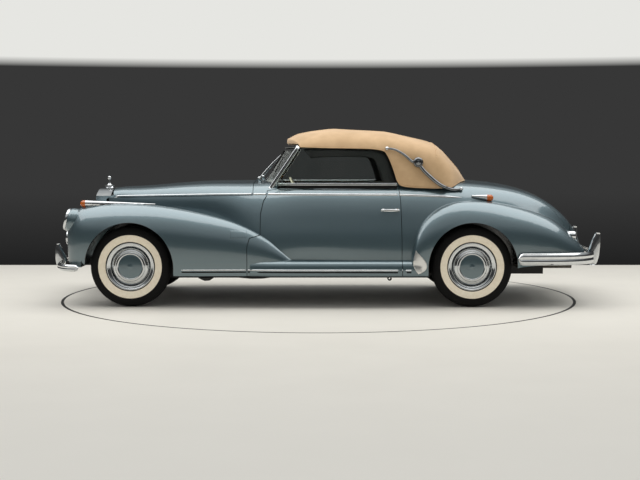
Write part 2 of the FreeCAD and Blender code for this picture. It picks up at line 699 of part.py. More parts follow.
def floor_shape():
    """Floor with its shaft tunnel, the step up to the rear seat pan, and the firewall."""
    top, sheet_gauge = size.floor_height, size.floor_thickness
    low = plan_prism(cabin_plan, top - sheet_gauge, top).common(box(SEAT_STEP_X, 700, -WIDE, WIDE, 0, 900))
    pan = plan_prism(cabin_plan, SEAT_PAN_HEIGHT - sheet_gauge, SEAT_PAN_HEIGHT)
    pan = pan.common(box(-1300, SEAT_STEP_X, -WIDE, WIDE, 0, 900))
    step = plan_prism(cabin_plan, top - sheet_gauge, SEAT_PAN_HEIGHT)
    step = step.common(box(SEAT_STEP_X, SEAT_STEP_X + sheet_gauge, -WIDE, WIDE, 0, 900))
    firewall = box(size.cabin_front_x - 14, size.cabin_front_x, -560, 560, top - 1, 900)
    tunnel = box(SEAT_STEP_X, size.cabin_front_x, -TUNNEL_HALF, TUNNEL_HALF, top - 1, TUNNEL_HEIGHT)
    inside = box(SEAT_STEP_X - 1, size.cabin_front_x + 1, -TUNNEL_HALF + sheet_gauge, TUNNEL_HALF - sheet_gauge,
                 0, TUNNEL_HEIGHT - sheet_gauge)
    beside_doors = box(-640, 700, size.cabin_half_width - gap, WIDE, 0, 900)
    floor = low.fuse([pan, step, firewall, tunnel]).cut(inside)
    return floor.cut(beside_doors).cut(mirrored(beside_doors))


def plan_band(points, thickness, z_from, z_to):
    """Upright band whose outer face follows a symmetric plan curve."""
    def curve(inset):
        side = []
        for i, (x, y) in enumerate(points):
            before, after = points[max(i - 1, 0)], points[min(i + 1, len(points) - 1)]
            run = Vector(after[0] - before[0], after[1] - before[1], 0)
            if i == len(points) - 1:
                run = Vector(0, -1, 0)
            run.normalize()
            outward = Vector(-run.y, run.x, 0)
            if outward.x * points[-1][0] < 0:
                outward = -outward
            side.append(Vector(x, y, z_from) - outward * inset)
        return side + [Vector(p.x, -p.y, p.z) for p in reversed(side[:-1])]
    outer, inner = curve(0), curve(thickness)
    wire = Part.Wire([spline_edge(outer), Part.makeLine(outer[-1], inner[-1]),
                      spline_edge(list(reversed(inner))), Part.makeLine(inner[0], outer[0])])
    return Part.Face(wire).extrude(Vector(0, 0, z_to - z_from))


FRONT_BUMPER_PLAN = [(2105, 905), (2215, 870), (2300, 760), (2345, 560), (2366, 280), (2371, 0)]
REAR_BUMPER_PLAN = [(-1592, 944), (-1850, 940), (-2080, 890), (-2240, 760), (-2310, 520), (-2336, 260), (-2342, 0)]


def front_bumper_shape():
    blade = plan_band(FRONT_BUMPER_PLAN, 14, 289, 363)
    pieces = []
    for side in (1, -1):
        y = side * 450
        guard = side_prism([(2350, 270), (2382, 290), (2386, 500), (2372, 513), (2350, 505), (2318, 410),
                            (2322, 270)], y - 32, y + 32)
        stay = box(2240, 2340, side * 420 - 20, side * 420 + 20, 335, 360)
        pieces += [guard, stay]
    return blade.fuse(pieces)


def rear_bumper_shape():
    blade = plan_band(REAR_BUMPER_PLAN, 14, 345, 450)
    pieces = []
    for side in (1, -1):
        y = side * 480
        guard = side_prism([(-2322, 330), (-2352, 345), (-2372, 470), (-2372, 590), (-2358, 614),
                            (-2330, 606), (-2322, 450)], y - 30, y + 30)
        stay = box(-2332, -1910, side * 440 - 20, side * 440 + 20, 350, 374)
        bracket = box(-1950, -1910, side * 420 - 20, side * 420 + 20, 350, 402)
        pieces += [guard, stay, bracket]
    return blade.fuse(pieces)


HEADLAMP = SimpleNamespace(x=2228, y=692, z=742, radius=96, depth=120, tilt=14)


def lamp_body(lamp, side, extra=0.0):
    """Short drum with a domed lens, facing forward and tilted up."""
    lean = math.radians(lamp.tilt)
    facing = Vector(math.cos(lean), 0, math.sin(lean))
    front = Vector(lamp.x, side * lamp.y, lamp.z)
    drum = Part.makeCylinder(lamp.radius + extra, lamp.depth + extra, front - facing * (lamp.depth + extra), facing)
    if extra:
        return drum
    dome_radius = lamp.radius * 1.9
    dome = Part.makeSphere(dome_radius, front - facing * (dome_radius - 26))
    slab = Part.makeCylinder(lamp.radius - 8, 40, front - facing * 12, facing)
    return drum.fuse(dome.common(slab))


def headlamps_shape():
    return Part.makeCompound([lamp_body(HEADLAMP, side) for side in (1, -1)])


FOG_LAMP = SimpleNamespace(x=2288, y=400, z=566, radius=62, depth=60, tilt=0)


def fog_lamps_shape():
    lamps = []
    for side in (1, -1):
        stalk = Part.makeCylinder(9, 215, Vector(FOG_LAMP.x - 35, side * FOG_LAMP.y, 360 + seat_gap), UP)
        lamps.append(lamp_body(FOG_LAMP, side).fuse(stalk))
    return Part.makeCompound(lamps)


def teardrop(nose, end, radius, end_radius):
    """Slim pod: a round nose and a long taper behind it."""
    run = end - nose
    return Part.makeCone(radius, end_radius, run.Length, nose, run).fuse(
        [Part.makeSphere(radius, nose), Part.makeSphere(end_radius, end)])


FRONT_LENS_X, REAR_LENS_X = 2074, -1356


def signal_pods():
    """Front and rear signal pods of the left side, seated on the wings."""
    front = teardrop(Vector(2090, 706, 876), Vector(1480, 728, 872), 30, 5)
    rear = teardrop(Vector(-1385, 694, 926), Vector(-1235, 694, 940), 28, 9)
    rear_seat = body_mass.fuse(rear_wing_mass)
    clear = Vector(0, seat_gap, seat_gap)
    return tuple(keep_largest(pod.cut(seat)).translated(clear)
                 for pod, seat in ((front, front_wing_mass), (rear, rear_seat)))


def signal_lamps_shape():
    """The lenses: the front pods' noses and the rear pods' tails."""
    front, rear = signal_pods()
    left = [keep_largest(front.common(box(FRONT_LENS_X + seat_gap, 2200, 0, WIDE, 0, 1200))),
            keep_largest(rear.common(box(-1500, REAR_LENS_X - seat_gap, 0, WIDE, 0, 1200)))]
    return Part.makeCompound(left + [mirrored(piece) for piece in left])


def signal_housings_shape():
    """The bright spears behind the lenses."""
    front, rear = signal_pods()
    left = [keep_largest(front.common(box(1400, FRONT_LENS_X, 0, WIDE, 0, 1200))),
            keep_largest(rear.common(box(REAR_LENS_X, -1100, 0, WIDE, 0, 1200)))]
    return Part.makeCompound(left + [mirrored(piece) for piece in left])


TAIL_LAMP = SimpleNamespace(x=-2168, y=690, z=600, radius=48, depth=70)


def tail_lamp_body(side, extra=0.0):
    return Part.makeCylinder(TAIL_LAMP.radius + extra, TAIL_LAMP.depth + extra,
                             Vector(TAIL_LAMP.x, side * TAIL_LAMP.y, TAIL_LAMP.z), Vector(1, 0, 0))


def tail_lamps_shape():
    return Part.makeCompound([tail_lamp_body(side) for side in (1, -1)])


def radiator_block():
    """Upright surround, narrower at its foot, with an arched top."""
    outline = [(1972, 400 + seat_gap), (2046, 400 + seat_gap), (2072, 700), (2058, 985), (2040, 996), (1930, 998), (1932, 930), (1972, 900)]
    front_view = [(-225, 380), (225, 380), (284, 930), (284, 1010), (-284, 1010), (-284, 930)]
    corners = [Vector(1800, y, z) for y, z in front_view]
    taper = Part.Face(Part.makePolygon(corners + corners[:1])).extrude(Vector(400, 0, 0))
    crown = Part.makeCylinder(620, 400, Vector(1800, 0, 998 - 620), Vector(1, 0, 0))
    return side_prism(outline, -WIDE, WIDE).common(taper).common(crown)


def radiator_shape():
    """The surround with its row of upright bars, and the cap on top."""
    shell = radiator_block().cut(box(2030, 2100, -205, 205, 450, 900))
    bars = [box(2026, 2048, y - 4, y + 4, 449, 901) for y in range(-180, 181, 36)]
    cap = Part.makeCone(46, 40, 18, Vector(1990, 0, 992), UP).fuse([
        Part.makeCylinder(44, 10, Vector(1990, 0, 1008), UP),
        Part.makeCone(30, 8, 18, Vector(1990, 0, 1018), UP),
        Part.makeCylinder(6, 40, Vector(1990, 0, 1030), UP),
        Part.makeSphere(17, Vector(1990, 0, 1084))])
    return shell.fuse(bars).fuse(cap)


def surface_y(mass, x, z):
    """Outermost Y of a mass on the left side at a station and height."""
    return max(edge.BoundBox.YMax for edge in Part.makeLine(Vector(x, WIDE, z), Vector(x, 0, z)).common(mass).Edges)


def bar_ring(centre, along, radius):
    """Corners of a twelve-sided ring of the bar, square to its path."""
    side = along.cross(Vector(0, 1, 0)).normalize()
    up = side.cross(along).normalize()
    turns = [math.radians(30 * corner) for corner in range(12)]
    return [centre + side * (radius * math.cos(turn)) + up * (radius * math.sin(turn)) for turn in turns]


def flat_face(*corners):
    return Part.Face(Part.makePolygon(list(corners) + [corners[0]]))


def bar_solid(rings):
    """Solid through rings of corners, each side strip made of two flat triangles."""
    faces = [flat_face(*rings[0]), flat_face(*rings[-1])]
    for near, far in zip(rings, rings[1:]):
        for corner in range(len(near)):
            after = (corner + 1) % len(near)
            faces.append(flat_face(near[corner], near[after], far[after]))
            faces.append(flat_face(near[corner], far[after], far[corner]))
    solid = Part.makeSolid(Part.makeShell(faces))
    if solid.Volume < 0:
        solid.reverse()
    return solid


def landau_bars_shape():
    """S-shaped bars outside the cloth, their knob joints, and the studs that carry them."""
    route = [(-506, 1340), (-590, 1322), (-690, 1282), (-775, 1231), (-840, 1168), (-905, 1096), (-965, 1043),
             (-1030, 1014), (-1085, 1006), (-1135, 1006)]
    cloth_and_body = roof_mass.fuse(body_mass)
    surface = [surface_y(cloth_and_body, x, z) for x, z in route]
    bars = []
    for side in (1, -1):
        points = [Vector(x, side * (y + 22), z) for (x, z), y in zip(route, surface)]
        neighbours = zip(points[:1] + points[:-1], points[1:] + points[-1:])
        rings = [bar_ring(point, after - before, 9) for point, (before, after) in zip(points, neighbours)]
        pieces = [cross_cylinder(points[3].x, points[3].z, 38, points[3].y - 12, points[3].y + 15)]
        for point, y in ((points[0], surface[0]), (points[-1], surface[-1])):
            pieces.append(rod(point, Vector(point.x, side * (y - 3), point.z), 6))
        bars.append(keep_largest(bar_solid(rings).fuse(pieces).cut(cloth_and_body)))
    return Part.makeCompound(bars)


def dashboard_shape():
    under = 930 - seat_gap
    face = [(436, under), (436, 720), (470, 700), (520, 700), (520, under)]
    return side_prism(face, -590, 590)


def steering_wheel_shape():
    lean = math.radians(28)
    facing = Vector(-math.cos(lean), 0, math.sin(lean))
    centre = Vector(235, 360, 905)
    rim = Part.makeTorus(205, 13, centre, facing)
    column_end = centre - facing * 330
    column = rod(centre + facing * 20, Vector(435, 360, 905 - 200 * math.tan(lean)), 24)
    spokes = []
    for turn in (0, 120, 240):
        direction = Rotation(facing, turn).multVec(Vector(math.sin(lean), 0, math.cos(lean)))
        spokes.append(rod(centre, centre + direction * 205, 9))
    return rim.fuse([column] + spokes)


def front_seats_shape():
    seats = []
    for side in (1, -1):
        y_from, y_to = sorted((side * 96, side * 610))
        cushion = box(-420, 90, y_from, y_to, size.floor_height + seat_gap, 500)
        back = side_prism([(-400, 480), (-300, 480), (-420, 930), (-540, 930)], y_from, y_to)
        seats.append(cushion.fuse(back))
    return Part.makeCompound(seats)


def rear_seat_shape():
    cushion = box(-1100, -700, -530, 530, SEAT_PAN_HEIGHT + seat_gap, 590)
    back = side_prism([(-1110, 560), (-1000, 560), (-1050, 900), (size.cabin_rear_x + 4, 900)], -530, 530)
    return cushion.fuse(back)


def exhaust_shape():
    """Down pipe from the engine's side, silencer and tail pipe."""
    y, z = -330, 250
    bend = Vector(900, y, z)
    down = rod(Vector(1010, -size.engine_width / 2 - seat_gap, 420), bend, 24)
    along = rod(bend, Vector(-2300, y, z), 24)
    silencer = rod(Vector(-120, y, z), Vector(-620, y, z), 48)
    side_of_block = box(900, 1200, -size.engine_width / 2 - seat_gap, 0, 300, 600)
    return along.fuse([down, silencer, Part.makeSphere(24, bend)]).cut(side_of_block)


def handle_shape():
    """Pull handle on two posts."""
    x_front, x_rear, z = -452, -598, 826
    posts_x = (x_front - 18, x_rear + 18)
    feet = [surface_y(body_mass, x, z) for x in posts_x]
    y = max(feet) + 26
    bar = rod(Vector(x_front, y, z), Vector(x_rear, y, z), 9)
    return bar.fuse([cross_cylinder(x, z, 7, foot - 3, y) for x, foot in zip(posts_x, feet)]).cut(body_mass)


add_pair("door", door_shape())
add_shape("bonnet", bonnet_shape())
add_shape("cowl", cowl_shape())
lamp_cuts = lamp_body(HEADLAMP, 1, seat_gap)
add_pair("front_wing", keep_largest(front_wing_shape().cut(lamp_cuts)))
under_space = box(-2150, SEAT_STEP_X, -560, 560, 0, REAR_FLOOR_Z).fuse([
    plan_prism(cabin_plan, 0, size.floor_height + 1), box(-1131, SEAT_STEP_X, -560, 560, 0, SEAT_PAN_HEIGHT)])
axle_room = box(rear_axle_x - 70, rear_axle_x + 70, -620, 620, 0, 430)
add_shape("rear_body", keep_largest(rear_body_shape().cut(under_space).cut(axle_room)))
add_pair("rear_wing", keep_largest(rear_wing_shape().cut(tail_lamp_body(1, seat_gap))))
add_shape("boot_lid", boot_lid_shape())
add_shape("soft_top", soft_top_shape())
add_shape("rear_window", rear_window_shape())
add_shape("windscreen_frame", windscreen_frame_shape())
add_shape("windscreen_glass", windscreen_glass_shape())
add_pair("door_glass", door_glass_shape())
add_pair("door_handle", handle_shape())
add_wheels()
add_pair("knuckle", knuckle_shape())
add_shape("front_suspension", front_suspension_shape())
add_shape("rear_axle", rear_axle_shape())
add_shape("chassis_frame", chassis_shape().cut(front_suspension_shape()))
add_shape("floor_pan", floor_shape())
engine = bound("Part::Box", "engine_block", (960, -size.engine_width / 2, 330 + seat_gap),
               Length="sizes.engine_length", Width="sizes.engine_width", Height="sizes.engine_height")
as_node(engine, "engine_block")
fuel_tank = bound("Part::Box", "fuel_tank", (-1900, -290, 245), Length="340", Width="690", Height="156.7")
as_node(fuel_tank, "fuel_tank")
add_shape("exhaust", exhaust_shape())
add_shape("radiator", radiator_shape())
add_shape("front_bumper", front_bumper_shape())
add_shape("rear_bumper", rear_bumper_shape())
add_shape("headlamps", headlamps_shape())
add_shape("fog_lamps", fog_lamps_shape())
add_shape("signal_lamps", signal_lamps_shape())
add_shape("signal_housings", signal_housings_shape())
add_shape("tail_lamps", tail_lamps_shape())
add_shape("landau_bars", landau_bars_shape())
add_shape("dashboard", dashboard_shape().cut(steering_wheel_shape()))
add_shape("steering_wheel", steering_wheel_shape())
add_shape("front_seats", front_seats_shape())
add_shape("rear_seat", rear_seat_shape())

doc.recompute()
for item in doc.Objects:
    if "Invalid" in item.State or "Error" in item.State:
        raise RuntimeError(f"{item.Label} failed: {item.State}")
for node in nodes:
    shape = node.Shape
    if shape.isNull() or not shape.isValid():
        raise RuntimeError(f"{node.Label} has no valid shape")
    print(f"{node.Label:20s} solids {len(shape.Solids)} volume {shape.Volume / 1e6:8.2f} litres")
for node in nodes:
    node.Shape.exportStep(f"parts/{node.Label}.step")
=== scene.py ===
# %% [markdown]
# A convertible car of the early 1950s with its cloth top up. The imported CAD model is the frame:
# every panel, wheel and bumper of it is already in place, in metres, with +X forward, +Y to the
# car's left and +Z up. This script gives each of those pieces its finish and adds what sheet metal
# drawings leave out: the cloth, the seams, the bright trim, the tyres' tread and the lamps' glass.

# %% Load the frame
import json
import math

import bpy
import numpy as np
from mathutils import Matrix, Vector
from mathutils.bvhtree import BVHTree


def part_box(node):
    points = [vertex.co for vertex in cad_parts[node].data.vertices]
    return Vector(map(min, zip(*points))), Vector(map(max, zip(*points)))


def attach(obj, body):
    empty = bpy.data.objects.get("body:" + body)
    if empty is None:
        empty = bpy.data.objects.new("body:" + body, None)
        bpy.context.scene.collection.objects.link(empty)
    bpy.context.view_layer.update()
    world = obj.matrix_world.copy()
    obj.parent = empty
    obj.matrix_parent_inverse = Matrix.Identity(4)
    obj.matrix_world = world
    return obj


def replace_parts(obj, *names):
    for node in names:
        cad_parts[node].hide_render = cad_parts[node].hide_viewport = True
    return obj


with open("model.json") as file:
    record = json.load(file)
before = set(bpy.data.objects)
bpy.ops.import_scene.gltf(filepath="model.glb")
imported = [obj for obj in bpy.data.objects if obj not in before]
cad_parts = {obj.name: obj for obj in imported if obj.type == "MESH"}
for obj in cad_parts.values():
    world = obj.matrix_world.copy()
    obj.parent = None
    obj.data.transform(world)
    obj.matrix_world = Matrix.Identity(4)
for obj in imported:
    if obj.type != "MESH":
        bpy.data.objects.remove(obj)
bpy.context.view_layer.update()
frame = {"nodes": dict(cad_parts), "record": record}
nodes = frame["nodes"]
scene = bpy.context.scene

# %% [markdown]
# The camera stands eleven metres to the car's left, at about the height of the bonnet, with a long
# lens, so the near and far wheels almost cover each other. It looks down by four degrees, which
# puts the car a little above the middle of the picture without a lens shift.

# %% Camera
lens_mm = 67.76
camera_place = (0.0705, 11.0, 1.2955)
camera_tilt = math.radians(4.06)

camera_data = bpy.data.cameras.new("camera")
camera_data.lens = lens_mm
camera_data.sensor_width = 36.0
camera = bpy.data.objects.new("camera", camera_data)
scene.collection.objects.link(camera)
camera.location = camera_place
camera.rotation_euler = (math.radians(90) - camera_tilt, 0, math.radians(180))
scene.camera = camera
scene.view_settings.view_transform = "Standard"
print("camera at", camera_place)

# %% [markdown]
# Materials are small trees of nodes. One function adds a node with its values and its links, and
# another turns the hex colour that a painter would quote into the linear light that a renderer adds up.

# %% Helpers for colours, nodes and materials
def linear(hex_code):
    """sRGB hex to linear RGBA: c / 12.92 below 0.04045, else ((c + 0.055) / 1.055) ** 2.4."""
    channels = np.array([int(hex_code[i:i + 2], 16) for i in (1, 3, 5)]) / 255
    light = np.where(channels <= 0.04045, channels / 12.92, ((channels + 0.055) / 1.055) ** 2.4)
    return (*light.tolist(), 1.0)


def add_node(tree, kind, values=None, links=None, **settings):
    """One node: its settings are attributes, values fill its sockets, links join sockets to them."""
    node = tree.nodes.new(kind)
    for name, value in settings.items():
        setattr(node, name, value)
    for socket, value in (values or {}).items():
        node.inputs[socket].default_value = value
    for socket, source in (links or {}).items():
        tree.links.new(source, node.inputs[socket])
    return node


def new_material(name, **values):
    """A material with one Principled shader, and its tree and shader for more nodes."""
    material = bpy.data.materials.new(name)
    material.use_nodes = True
    tree = material.node_tree
    tree.nodes.clear()
    shader = add_node(tree, "ShaderNodeBsdfPrincipled", values)
    output = add_node(tree, "ShaderNodeOutputMaterial")
    tree.links.new(shader.outputs["BSDF"], output.inputs["Surface"])
    return material, tree, shader


def object_point(tree, scale=(1, 1, 1), turn=(0, 0, 0)):
    """Object coordinates in metres, stretched and turned for a pattern."""
    place = add_node(tree, "ShaderNodeTexCoord")
    mapping = add_node(tree, "ShaderNodeMapping", {"Scale": scale, "Rotation": turn},
                       {"Vector": place.outputs["Object"]})
    return mapping.outputs["Vector"]


# %% [markdown]
# Every new piece is a grid of points worked out as whole numpy arrays: a profile turned about an
# axle, or a section carried along a path. These helpers turn such grids into closed meshes, and
# make the right-hand copy of a left-hand piece with its faces turned back outwards.

# %% Helpers for grids and pieces
SIDES = (("left", 1), ("right", -1))  # the car's sides, with the sign of Y on each
FIXED = ("car_body", "car_body")  # the bodies that the left and the right piece of a pair ride on
DOORS = ("door_left_body", "door_right_body")
BONNET = ("bonnet_body", "bonnet_body")
POLE = 0.0006  # radius in metres at which a turned body is closed by a small flat cap

# Which slot of the record some finishes belong to; these two tables are built but not kept
dict.fromkeys(("chromium_plate", "satin_chromium", "chromium_darkened_as_shade"), "chrome")
dict.fromkeys(("chassis_black", "radiator_core", "tyre_rubber"), "chassis_black")


def grid_faces(rows, columns, wrap_rows=False, wrap_columns=False):
    """Quads between neighbours (i, j), (i+1, j), (i+1, j+1), (i, j+1) of a grid."""
    i, j = np.meshgrid(np.arange(rows if wrap_rows else rows - 1),
                       np.arange(columns if wrap_columns else columns - 1), indexing="ij")
    i, j = i.ravel(), j.ravel()
    below, beside = (i + 1) % rows, (j + 1) % columns
    corners = [i * columns + j, below * columns + j, below * columns + beside, i * columns + beside]
    return np.stack(corners, axis=1)


def make_piece(name, points, faces, material, body="car_body", slot=None, flat=False, mirror=False):
    """A mesh piece that rides on a body. Mirrored, Y changes sign and each face runs the other way."""
    points = np.asarray(points, dtype=float).reshape(-1, 3)
    faces = [list(face) for face in faces]
    if mirror:
        points = points * (1, -1, 1)
        faces = [face[::-1] for face in faces]
    mesh = bpy.data.meshes.new(name)
    mesh.from_pydata(points.tolist(), [], faces)
    mesh.polygons.foreach_set("use_smooth", np.full(len(faces), not flat))
    materials = material if isinstance(material, (list, tuple)) else [material]
    for finish in materials:
        mesh.materials.append(finish)
    mesh.update()
    piece = bpy.data.objects.new(name, mesh)
    scene.collection.objects.link(piece)
    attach(piece, body)
    return piece


def make_pair(name, points, faces, material, bodies=FIXED):
    """The left piece and its mirror image, on a body each."""
    return [make_piece(f"{name}_{side}", points, faces, material, body, mirror=sign < 0)
            for (side, sign), body in zip(SIDES, bodies)]


def unit(vectors):
    """Vectors divided by their lengths."""
    return vectors / np.maximum(np.linalg.norm(vectors, axis=-1, keepdims=True), 1e-12)


def swept(path, section, outward, closed=False):
    """Tube or ring: point = path + section[0] * outward + section[1] * across, at each path point."""
    path, section = np.asarray(path, dtype=float), np.asarray(section, dtype=float)
    outward = np.broadcast_to(np.asarray(outward, dtype=float), path.shape)
    steps = np.roll(path, -1, axis=0) - np.roll(path, 1, axis=0) if closed else np.gradient(path, axis=0)
    along = unit(steps)
    outward = unit(outward - np.sum(outward * along, axis=1, keepdims=True) * along)
    across = np.cross(along, outward)
    if section.ndim == 2:
        section = np.broadcast_to(section, (len(path), *section.shape))
    points = path[:, None] + section[..., :1] * outward[:, None] + section[..., 1:] * across[:, None]
    rows, columns = points.shape[:2]
    faces = grid_faces(rows, columns, wrap_rows=closed, wrap_columns=True).tolist()
    if not closed:
        faces += end_caps(rows, columns)
    return points, outward_facing(points, faces)


def end_caps(rows, columns):
    """One face over the first row of a grid and one over the last."""
    return [list(range(columns))[::-1], list(range((rows - 1) * columns, rows * columns))]


def outward_facing(points, faces):
    """The faces, all turned round if the volume that they enclose comes out negative."""
    flat = np.asarray(points).reshape(-1, 3)
    fans = [(face[0], face[k], face[k + 1]) for face in faces for k in range(1, len(face) - 1)]
    a, b, c = (flat[[fan[k] for fan in fans]] for k in range(3))
    inside_out = np.sum(a * np.cross(b, c)) < 0
    return [face[::-1] for face in faces] if inside_out else faces


def ellipse(width, height, count=16):
    """Section of an oval rod: width / 2 * cos outward, height / 2 * sin across."""
    turn = np.linspace(0, 2 * np.pi, count, endpoint=False)
    return np.stack([width / 2 * np.cos(turn), height / 2 * np.sin(turn)], axis=1)


def turned_about(profile, centre, axis=(0, 1, 0), count=48, ring=False):
    """Profile of (radius, height) turned about an axis: point = centre + radius * around + height * axis.
    A ring's profile closes in itself, and any other body gets a cap at each end."""
    profile, axis = np.asarray(profile, dtype=float), unit(np.asarray(axis, dtype=float))
    right = unit(np.cross(axis, (0.0, 0.0, 1.0) if abs(axis[2]) < 0.9 else (1.0, 0.0, 0.0)))
    turn = np.linspace(0, 2 * np.pi, count, endpoint=False)[:, None, None]
    around = np.cos(turn) * right + np.sin(turn) * np.cross(axis, right)
    points = np.asarray(centre) + profile[:, :1] * around + profile[:, 1:] * axis
    rows, columns = points.shape[:2]
    faces = grid_faces(rows, columns, wrap_rows=True, wrap_columns=ring).tolist()
    if not ring:
        last = range(columns - 1, rows * columns, columns)
        faces += [list(range(0, rows * columns, columns)), list(last)[::-1]]
    return points, outward_facing(points, faces)


# %% [markdown]
# Every finish is a small recipe of textures laid out in Object coordinates, so its grain keeps one
# size in millimetres on every panel. Three helpers cover them all: a texture with a cell size, a
# colour that wanders between two tones, and a bump as deep as the real relief.

# %% Helpers for patterns
def pattern(tree, kind, size_mm, point=None, values=None, **settings):
    """A texture whose features are size_mm wide: a scale of 1 is 1 m, and for waves pi / 10 m."""
    if point is None:
        point = object_point(tree)
    period = 100 * math.pi if kind == "ShaderNodeTexWave" else 1000
    values = {"Scale": period / size_mm, **(values or {})}
    return add_node(tree, kind, values, {"Vector": point}, **settings)


def tinted(tree, shader, factor, dark, pale, low=0.3, high=0.7):
    """Base Color that goes from dark to pale as the texture goes from low to high."""
    share = add_node(tree, "ShaderNodeMapRange", {"From Min": low, "From Max": high}, {"Value": factor})
    mix = add_node(tree, "ShaderNodeMixRGB", {"Color1": linear(dark), "Color2": linear(pale)},
                   {"Fac": share.outputs["Result"]})
    tree.links.new(mix.outputs["Color"], shader.inputs["Base Color"])


def bumped(tree, shader, height, depth_mm, strength=0.5):
    """Relief depth_mm deep."""
    bump = add_node(tree, "ShaderNodeBump", {"Strength": strength, "Distance": depth_mm / 1000},
                    {"Height": height})
    tree.links.new(bump.outputs["Normal"], shader.inputs["Normal"])


def ranged(tree, shader, socket, factor, low, high):
    """A shader value that wanders between low and high with a texture."""
    share = add_node(tree, "ShaderNodeMapRange", {"To Min": low, "To Max": high}, {"Value": factor})
    tree.links.new(share.outputs["Result"], shader.inputs[socket])


def noisy_finish(name, dark, pale, size_mm, rough=(0.4, 0.5), bump_mm=0.0, **values):
    """A plain finish: two close tones in soft clouds, wandering gloss and, if wanted, a fine bump."""
    material, tree, shader = new_material(name, **values)
    clouds = pattern(tree, "ShaderNodeTexNoise", size_mm, values={"Detail": 3.0})
    tinted(tree, shader, clouds.outputs["Fac"], dark, pale)
    ranged(tree, shader, "Roughness", clouds.outputs["Fac"], *rough)
    if bump_mm:
        bumped(tree, shader, clouds.outputs["Fac"], bump_mm)
    return material


# %% [markdown]
# The paint is a metallic lacquer: fine aluminium flakes in a grey-blue pigment under a clear coat.
# The flakes make the colour rise towards the light, and the coat gives the sharp, thin reflection.

# %% Body paint
FLAKE_MM = 1.2  # real flakes are far finer; this is the smallest grain that still shows

paint, tree, shader = new_material("metallic_lacquer", **{
    "Metallic": 0.7, "Roughness": 0.36, "Coat Weight": 1.0, "Coat Roughness": 0.10, "Coat IOR": 1.8})
flakes = pattern(tree, "ShaderNodeTexVoronoi", FLAKE_MM)
tinted(tree, shader, flakes.outputs["Distance"], "#4F6268", "#5B7077", 0.0, 1.0)
print("paint: flakes drawn", FLAKE_MM, "mm wide")

# %% [markdown]
# Inside the arches the wings are sprayed with a tarry black underseal. It could be a material of its
# own on faces picked one by one. A mask is simpler: in the side view, whatever lies between two
# distances from an axle turns black, and the panels' outer faces start beyond that.

# %% Black underseal inside the wheel arches
ARCH_FROM, ARCH_TO, AXLE_HEIGHT = 0.200, 0.3785, 0.345
AXLES_X = (1.682, -1.219)
side_view = add_node(tree, "ShaderNodeVectorMath", {1: (1, 0, 1)}, {0: object_point(tree)},
                     operation="MULTIPLY")
coat_colour = shader.inputs["Base Color"].links[0].from_socket
for axle_x in AXLES_X:
    reach = add_node(tree, "ShaderNodeVectorMath", {1: (axle_x, 0, AXLE_HEIGHT)},
                     {0: side_view.outputs["Vector"]}, operation="DISTANCE")
    inside = add_node(tree, "ShaderNodeMath", {1: (ARCH_FROM + ARCH_TO) / 2, 2: (ARCH_TO - ARCH_FROM) / 2},
                      {0: reach.outputs["Value"]}, operation="COMPARE")
    coat_colour = add_node(tree, "ShaderNodeMixRGB", {"Color2": linear("#0B0B0B")},
                           {"Fac": inside.outputs["Value"], "Color1": coat_colour}).outputs["Color"]
tree.links.new(coat_colour, shader.inputs["Base Color"])
print("underseal: from", ARCH_FROM, "to", ARCH_TO, "m round", len(AXLES_X), "axles")

# %% [markdown]
# Bright trim is brass or steel with chromium on top, which is nearly a mirror. Its tone wanders a
# little, as plating does. Castings, chassis paint and exhaust steel are duller metals, so each gets
# its own roughness and a bump as deep as its real grain.

# %% Bright and dark metals
chrome = noisy_finish("chromium_plate", "#CDD0D2", "#DDDFE0", 60, (0.04, 0.09), Metallic=1.0)
satin_chrome = noisy_finish("satin_chromium", "#D8D8D6", "#E4E4E2", 30, (0.30, 0.42), Metallic=1.0)
black = noisy_finish("chassis_black", "#0F0F0F", "#181818", 20, (0.4, 0.6), 0.1)
iron = noisy_finish("cast_iron", "#2A2A2B", "#3B3B3A", 4, (0.6, 0.8), 0.4, Metallic=0.3)
steel = noisy_finish("exhaust_steel", "#4B4742", "#6A645B", 30, (0.35, 0.6), 0.05, Metallic=0.9)
# A darker copy of the plate, for the landau bars: painted shade for the dark studio that they mirror.
shaded_chrome = noisy_finish("chromium_darkened_as_shade", "#7A7C7E", "#8E9092", 40, (0.07, 0.12), Metallic=1.0)
mesh_grey = noisy_finish("radiator_core", "#101112", "#1D1F20", 5, (0.5, 0.7), 0.3, Metallic=0.4)
print("finishes: paint and metals")

# %% [markdown]
# The hood is a doubled cotton cloth. Two crossed sets of fine waves give the weave, wide soft clouds
# give the shading of cloth that has been folded and aired, and the lining inside is nearly black.

# %% Cloth, lining and carpet
THREAD_MM = 1.6  # real threads are half as wide; this is the finest weave that still shows

cloth, tree, shader = new_material("hood_cloth", **{
    "Roughness": 0.92, "Sheen Weight": 0.15, "Sheen Roughness": 0.5})
point = object_point(tree)
warp = pattern(tree, "ShaderNodeTexWave", THREAD_MM, point, bands_direction="X")
weft = pattern(tree, "ShaderNodeTexWave", THREAD_MM, point, bands_direction="DIAGONAL")
weave = add_node(tree, "ShaderNodeMath", None, {0: warp.outputs["Fac"], 1: weft.outputs["Fac"]},
                 operation="MAXIMUM")
airing = pattern(tree, "ShaderNodeTexNoise", 160, point, {"Detail": 4.0, "Roughness": 0.6})
tinted(tree, shader, airing.outputs["Fac"], "#B5966F", "#C6A67F")
bumped(tree, shader, weave.outputs["Value"], 0.25, 0.35)
lining = noisy_finish("hood_lining", "#0F0D0B", "#191613", 3, (0.9, 1.0), 0.2)
carpet = noisy_finish("wool_carpet", "#4A4238", "#62574A", 4, (0.9, 1.0), 2.0)
print("finishes: cloth of", THREAD_MM, "mm threads, lining and carpet")

# %% [markdown]
# Leather is a net of small cells with soft creases, which a Voronoi texture gives directly. Walnut
# is a stretched noise, so its figure runs along the dashboard. Rubber and plastics are near plain.

